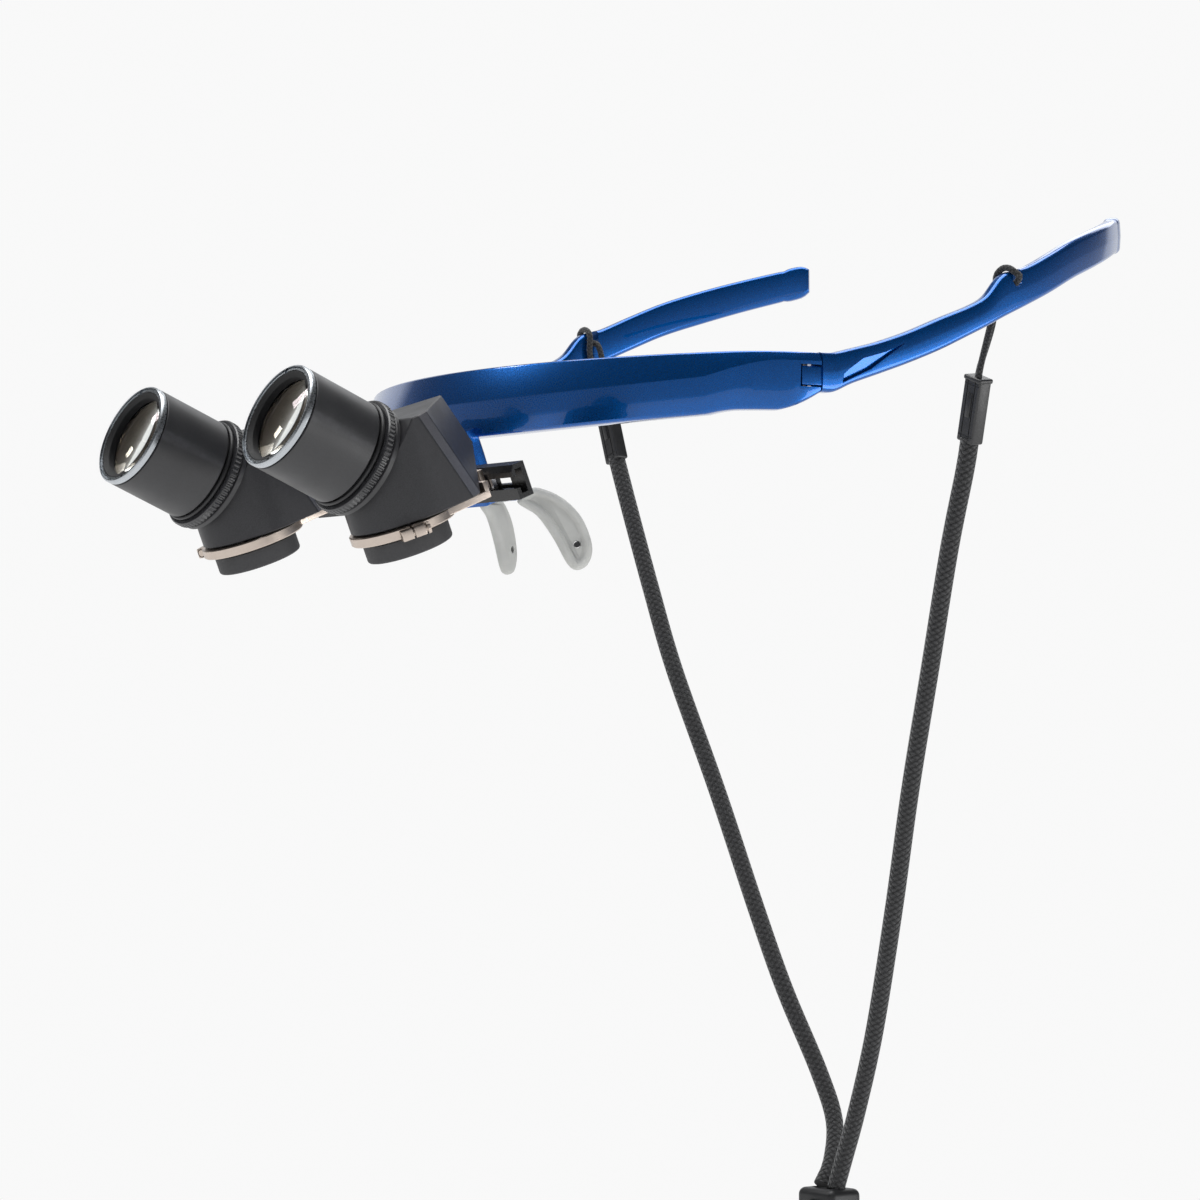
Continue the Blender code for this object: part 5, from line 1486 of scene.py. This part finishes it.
def sleeve_mesh():
    """Folded sleeve: rounded block with seams, pressed lines, a ridge on each broad face and a lip."""
    width, depth, length = SLEEVE_SIZE
    base = box_mesh("sleeve", (-width / 2, -depth / 2, 0.0), (width / 2, depth / 2, length), 0.45, 3)
    cuts = []
    for face in (-1, 1):
        for across in (-1.15, 1.15):
            low = (across - 0.12, face * depth / 2 - 0.16, 0.8)
            high = (across + 0.12, face * depth / 2 + 0.16, length - 0.8)
            cuts.append(box_mesh("seam", low, high))
    for end in (1.6, length - 1.6):
        cuts.append(box_mesh("press", (-width, -depth / 2 - 0.1, end - 0.15),
                             (width, -depth / 2 + 0.12, end + 0.15)))
    lip = box_mesh("lip", (-width / 2 - 0.2, -depth / 2 - 0.2, 0.0), (width / 2 + 0.2, depth / 2 + 0.2, 1.0),
                   0.35, 3)
    ridges = []
    for face in (-1, 1):
        near, far = between(face, depth / 2 - 0.3, depth / 2 + 0.25)
        ridges.append(box_mesh("ridge", (-0.7, near, 3.4), (0.7, far, 8.6), 0.2))
    return joined("sleeve", base, (lip, *ridges), cuts)


def string_route(side, name):
    """Round the hook in front of the temple's slot, then down its inner face into the sleeve."""
    place, axis = sleeve_place(name)
    top = place.translation
    radius = sizes().string_radius
    reach = TEMPLE_THICK / 2 + radius + STRING_CLEAR
    inner = NOTCH_X - reach
    outer = NOTCH_X + reach
    floor = NOTCH_FLOOR_Z + radius + 0.1
    crest = HOOK_TOP_Z + radius + 0.15
    lead = top.y - NOTCH_Y
    apart = Vector((side * STRING_APART[0], STRING_APART[1], 0.0))
    first = top + apart
    last = top - apart
    ways = (
        (inner - 0.2, lead * 0.55 - 0.6, STRING_LOW_Z), (inner, -1.9, 43.0), (inner, -2.0, HOOK_TOP_Z - 0.8),
        (NOTCH_X - 1.0, -1.9, crest), (NOTCH_X + 1.0, -1.7, crest), (outer, -1.2, HOOK_TOP_Z - 0.3),
        (outer, -0.3, floor + 1.3), (NOTCH_X + 1.2, 0.0, floor), (NOTCH_X - 1.3, 0.0, floor),
        (inner - 0.7, lead * 0.1, floor - 1.6), (inner - 0.9, lead * 0.55 + 0.5, STRING_LOW_Z),
    )
    loop = [Vector((side * across, NOTCH_Y + back, up)) for across, back, up in ways]
    return [first + axis, first - axis * 2.0, *loop, last - axis * 2.0, last + axis]


class LOUPES_OT_neck_strap(bpy.types.Operator):
    """Temple strings, sleeves and the braided neck cord with its tail"""

    bl_idname = "loupes.neck_strap"
    bl_label = "Neck Strap"

    def execute(self, context):
        radius = sizes().cord_radius
        for side, name in SIDES:
            body = f"temple_{name}"
            place, axis = sleeve_place(name)
            add_piece(f"strap_sleeve_{name}_folded", sleeve_mesh(), body, "sleeve", (f"strap_sleeve_{name}",),
                      in_metres(place))
            loop = smooth_route(string_route(side, name), STRING_STEP)
            string = tube_mesh("string", loop, sizes().string_radius, STRING_SIDES)
            add_piece(f"strap_string_{name}_braided", string, body, "string", (f"strap_string_{name}",),
                      smooth_angle=TUBE_ANGLE)
            foot = SLEEVE_ENDS[name][1]
            route = smooth_route([foot - axis * CORD_START, *CORD_ROUTES[name]], CORD_STEP)
            mesh = tube_mesh("cord", route, radius, CORD_SIDES)
            cord = add_piece(f"neck_cord_{name}_braided", mesh, None, "cord", (f"neck_cord_{name}",),
                             smooth_angle=TUBE_ANGLE)
            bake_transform(cord)
        other_half = [(-x, y, z) for x, y, z in reversed(TAIL_ROUTE[:-1])]
        route = smooth_route([*TAIL_ROUTE, *other_half], CORD_STEP)
        tail = add_piece("cord_tail_braided", tube_mesh("tail", route, radius, CORD_SIDES), "frame", "cord",
                         ("cord_tail",), smooth_angle=TUBE_ANGLE)
        return {"FINISHED"}


# Cord lock: block on both cords with a sprung button towards the wearer's front, in millimetres
LOCK_TOP_Z = -144.6
LOCK_Y = 80.0
LOCK_SIZE = (12.0, 9.0, 17.0)
LOCK_ROUND = 1.6
LOCK_HOLE_SPREAD = 2.4
LOCK_HOLE_RADIUS = 2.15
LOCK_GRIPS = 5
LOCK_GRIP_PITCH = 1.9
LOCK_GRIP_DEPTH = 0.3
BUTTON_RADIUS = 2.6
BUTTON_PLAY = 0.2
BUTTON_REACH = 3.4
BUTTON_DEPTH = 1.6
BUTTON_BORE = 6.2
BUTTON_DROP = 5.0
SPRING_WIRE = 0.25
SPRING_RADIUS = 1.5
SPRING_TURNS = 3
SPRING_STEPS = 20


def button_place():
    """Place of the button's axis, which runs forward from the front face of the lock."""
    front = LOCK_Y - LOCK_SIZE[1] / 2
    return Matrix.Translation((0.0, front, LOCK_TOP_Z - BUTTON_DROP)) @ Matrix.Rotation(math.pi / 2, 4, "X")


def lock_mesh():
    """Rounded block with two cord holes, the button's bore and grip grooves on its flanks."""
    width, depth, height = LOCK_SIZE
    foot = LOCK_TOP_Z - height
    front = LOCK_Y - depth / 2
    back = LOCK_Y + depth / 2
    block = box_mesh("lock", (-width / 2, front, foot), (width / 2, back, LOCK_TOP_Z), LOCK_ROUND, 5)
    cuts = [rod_mesh("button_bore", BUTTON_RADIUS + BUTTON_PLAY, -BUTTON_BORE, 2.0, button_place())]
    for side, _ in SIDES:
        place = Matrix.Translation((side * LOCK_HOLE_SPREAD, LOCK_Y, 0.0))
        cuts.append(rod_mesh("cord_hole", LOCK_HOLE_RADIUS, foot - 2.0, LOCK_TOP_Z + 2.0, place))
        near, far = between(side, width / 2 - LOCK_GRIP_DEPTH, width / 2 + 1.0)
        for index in range(LOCK_GRIPS):
            low = foot + height / 2 + LOCK_GRIP_PITCH * (index - LOCK_GRIPS / 2)
            cuts.append(box_mesh("grip", (near, front + LOCK_ROUND, low),
                                 (far, back - LOCK_ROUND, low + LOCK_GRIP_PITCH / 2)))
    return joined("lock", block, (), cuts)


def button_mesh():
    """Crowned button with two fine rings on its crown."""
    radius = BUTTON_RADIUS
    crown = BUTTON_REACH
    profile = [
        (0.02, crown), (radius * 0.3, crown), (radius * 0.35, crown - 0.12), (radius * 0.42, crown - 0.05),
        (radius * 0.6, crown - 0.15), (radius * 0.65, crown - 0.3), (radius * 0.72, crown - 0.3),
        (radius * 0.9, crown - 0.6), (radius * 0.97, crown - 0.9), (radius, crown - 1.3),
        (radius, -BUTTON_DEPTH), (0.02, -BUTTON_DEPTH),
    ]
    return lathe_mesh("lock_button", profile, 48)


def spring_route():
    """Points of the coil between the bottom of the bore and the back of the button."""
    start = -BUTTON_BORE + GAP + SPRING_WIRE
    length = BUTTON_BORE - BUTTON_DEPTH - 2 * (GAP + SPRING_WIRE)
    count = SPRING_TURNS * SPRING_STEPS
    route = []
    for index in range(count + 1):
        angle = math.tau * index / SPRING_STEPS
        spot = Vector((SPRING_RADIUS * math.cos(angle), SPRING_RADIUS * math.sin(angle),
                       start + length * index / count))
        route.append(button_place() @ spot)
    return route, length


class LOUPES_OT_cord_lock(bpy.types.Operator):
    """Sprung cord lock below the wearer's neck"""

    bl_idname = "loupes.cord_lock"
    bl_label = "Cord Lock"

    def execute(self, context):
        add_piece("cord_lock_body_rounded", lock_mesh(), "frame", "moulded", ("cord_lock_body",),
                  smooth_angle=32.0)
        add_piece("cord_lock_button_crowned", button_mesh(), "lock_button", "rubber", ("cord_lock_button",),
                  in_metres(button_place()), 40.0)
        route, length = spring_route()
        spring = add_piece("cord_lock_spring_coiled", tube_mesh("spring", route, SPRING_WIRE, 10), "frame",
                           "steel", ("cord_lock_spring",), smooth_angle=TUBE_ANGLE)
        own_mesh(spring)
        return {"FINISHED"}


RIM_MIDDLE = Vector((0.0, -80.0, 15.0))
CAMERA_OFFSET = Vector((78.6, -34.6, 788.1))
FLOOR_DROP = 2.0
STUDIO_REACH = 4.0
BACKDROP_WAY = (-0.8, 0.6, 0.0)
FILL_STRENGTH = 0.6
# Ramps: lowest and highest value, then where they start and end
SKY_RAMP = (0.42, 0.05, 0.0, 0.32)
WALL_RAMP = (0.0, 0.8, 0.72, 0.8)
FLOOR_RAMP = (0.7, 1.0, 0.2, 0.55)
# Softboxes: place, aim, size and power, in metres and watts
SOFTBOXES = {
    "overhead_softbox": ((-0.15, 0.05, 0.9), (0.0, 0.0, 0.0), (1.0, 0.8), 8.6),
    "front_softbox": ((0.9, -1.0, 0.35), (0.0, -0.02, 0.0), (0.5, 0.8), 5.0),
    "back_softbox": ((-0.42, 0.72, 0.52), (0.0, -0.05, 0.0), (0.5, 0.3), 0.55),
    "low_softbox": ((0.42, 0.32, -0.13), (0.05, 0.02, 0.0), (0.3, 0.2), 0.7),
    "glint_softbox": ((-0.66, -0.46, 0.66), (0.0, -0.07, 0.02), (0.14, 0.18), 1.2),
}


def area_light(name, place, aim, size, power):
    lamp = bpy.data.lights.new(name, "AREA")
    lamp.shape = "RECTANGLE"
    lamp.size, lamp.size_y = size
    lamp.energy = power
    item = bpy.data.objects.new(name, lamp)
    bpy.context.scene.collection.objects.link(item)
    item.location = place
    item.rotation_euler = (Vector(aim) - Vector(place)).to_track_quat("-Z", "Y").to_euler()
    return item


def studio_world(level):
    """White to the camera; the light itself is plain and even, a little darker from above."""
    world = bpy.data.worlds.new("studio")
    bpy.context.scene.world = world
    world.use_nodes = True
    tree = world.node_tree
    tree.nodes.clear()
    output = tree.nodes.new("ShaderNodeOutputWorld")
    rays = tree.nodes.new("ShaderNodeLightPath").outputs
    seen = node(tree, "ShaderNodeBackground", Color=(level, level, level, 1.0), Strength=1.0)
    place = tree.nodes.new("ShaderNodeTexCoord").outputs["Generated"]
    split = tree.nodes.new("ShaderNodeSeparateXYZ")
    tree.links.new(place, split.inputs[0])
    height = map_range(tree, split.outputs["Z"], *SKY_RAMP)
    facing = node(tree, "ShaderNodeVectorMath", operation="DOT_PRODUCT")
    facing.inputs[1].default_value = BACKDROP_WAY
    tree.links.new(place, facing.inputs[0])
    wall = map_range(tree, facing.outputs["Value"], *WALL_RAMP)
    mirrored = node(tree, "ShaderNodeBackground", Color=(0.95, 0.97, 1.0, 1.0))
    tree.links.new(calc(tree, "MAXIMUM", height, wall), mirrored.inputs["Strength"])
    plain = node(tree, "ShaderNodeBackground", Color=(0.96, 0.98, 1.0, 1.0), Strength=FILL_STRENGTH)
    straight = calc(tree, "MAXIMUM", rays["Is Camera Ray"], rays["Is Transmission Ray"])
    around = mix_shaders(tree, rays["Is Glossy Ray"], plain.outputs[0], mirrored.outputs[0])
    tree.links.new(mix_shaders(tree, straight, around, seen.outputs[0]), output.inputs["Surface"])


def floor_material(level):
    """Pale floor that the camera sees as the backdrop, darkened only by the object's shadow."""
    material = bpy.data.materials.new("pale_floor")
    material.use_nodes = True
    tree = material.node_tree
    tree.nodes.clear()
    output = tree.nodes.new("ShaderNodeOutputMaterial")
    matt = node(tree, "ShaderNodeBsdfDiffuse", Color=(level, level, level, 1.0))
    glow = node(tree, "ShaderNodeEmission", Color=(level, level, level, 1.0), Strength=1.0)
    rays = tree.nodes.new("ShaderNodeLightPath").outputs
    seen = calc(tree, "MAXIMUM", rays["Is Camera Ray"], rays["Is Glossy Ray"])
    place = tree.nodes.new("ShaderNodeTexCoord")
    away = node(tree, "ShaderNodeVectorMath", operation="LENGTH")
    tree.links.new(place.outputs["Object"], away.inputs[0])
    clean = map_range(tree, away.outputs["Value"], *FLOOR_RAMP)
    share = calc(tree, "MULTIPLY", seen, clean)
    tree.links.new(mix_shaders(tree, share, matt.outputs[0], glow.outputs[0]), output.inputs["Surface"])
    return material


class LOUPES_OT_stage(bpy.types.Operator):
    """Pale floor, soft studio light and the camera"""

    bl_idname = "loupes.stage"
    bl_label = "Studio"

    def execute(self, context):
        scene = context.scene
        studio = scene.loupe_studio
        scene.view_settings.view_transform = "Standard"
        studio_world(studio.backdrop)

        drop = CAD_BOX[0][2] - FLOOR_DROP * MM

        def build(grid):
            bmesh.ops.create_grid(grid, x_segments=1, y_segments=1, size=STUDIO_REACH,
                                  matrix=Matrix.Translation((0.0, 0.0, drop)))

        mesh = mesh_from("floor", build)
        mesh.materials.append(floor_material(studio.backdrop))
        floor = bpy.data.objects.new("floor", mesh)
        scene.collection.objects.link(floor)

        lights = {name: area_light(name, *settings) for name, settings in SOFTBOXES.items()}
        lights["front_softbox"].visible_glossy = False

        across = Vector((math.cos(studio.azimuth), math.sin(studio.azimuth), 0.0))
        back = Vector((math.sin(studio.azimuth) * math.cos(studio.elevation),
                       -math.cos(studio.azimuth) * math.cos(studio.elevation), math.sin(studio.elevation)))
        up = back.cross(across)
        place = Matrix((across, up, back)).transposed().to_4x4()
        offset = across * CAMERA_OFFSET.x + up * CAMERA_OFFSET.y + back * CAMERA_OFFSET.z
        place.translation = (RIM_MIDDLE + offset) * MM
        lens = bpy.data.cameras.new("camera")
        lens.lens = studio.lens
        lens.sensor_width = 36.0
        lens.clip_start = 0.01
        camera = bpy.data.objects.new("camera", lens)
        scene.collection.objects.link(camera)
        camera.matrix_world = place
        scene.camera = camera
        return {"FINISHED"}


STEPS = (
    LOUPES_OT_stage, LOUPES_OT_brow_frame, LOUPES_OT_temples, LOUPES_OT_barrels, LOUPES_OT_housings,
    LOUPES_OT_rail, LOUPES_OT_nose_pads, LOUPES_OT_neck_strap, LOUPES_OT_cord_lock,
)


class LOUPES_PT_panel(bpy.types.Panel):
    """Lists the pieces and their settings"""

    bl_idname = "LOUPES_PT_panel"
    bl_label = "Prism Loupes"
    bl_space_type = "VIEW_3D"
    bl_region_type = "UI"
    bl_category = "Loupes"

    def draw(self, context):
        scene = context.scene
        for settings in (scene.loupe_colours, scene.loupe_sizes, scene.loupe_studio):
            column = self.layout.column(align=True)
            for name in settings.__annotations__:
                column.prop(settings, name)
        column = self.layout.column(align=True)
        for step in STEPS:
            column.operator(step.bl_idname)


GROUP_CLASSES = (LoupeColours, LoupeSizes, LoupeStudio)


def register():
    for item in (*GROUP_CLASSES, *STEPS, LOUPES_PT_panel):
        bpy.utils.register_class(item)
    bpy.types.Scene.loupe_colours = bpy.props.PointerProperty(type=LoupeColours)
    bpy.types.Scene.loupe_sizes = bpy.props.PointerProperty(type=LoupeSizes)
    bpy.types.Scene.loupe_studio = bpy.props.PointerProperty(type=LoupeStudio)


def unregister():
    del bpy.types.Scene.loupe_studio
    del bpy.types.Scene.loupe_sizes
    del bpy.types.Scene.loupe_colours
    for item in (LOUPES_PT_panel, *reversed(STEPS), *reversed(GROUP_CLASSES)):
        bpy.utils.unregister_class(item)


def main():
    register()
    for step in STEPS:
        group_name, piece = step.bl_idname.split(".")
        getattr(getattr(bpy.ops, group_name), piece)()
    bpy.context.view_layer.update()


if __name__ == "__main__":
    main()
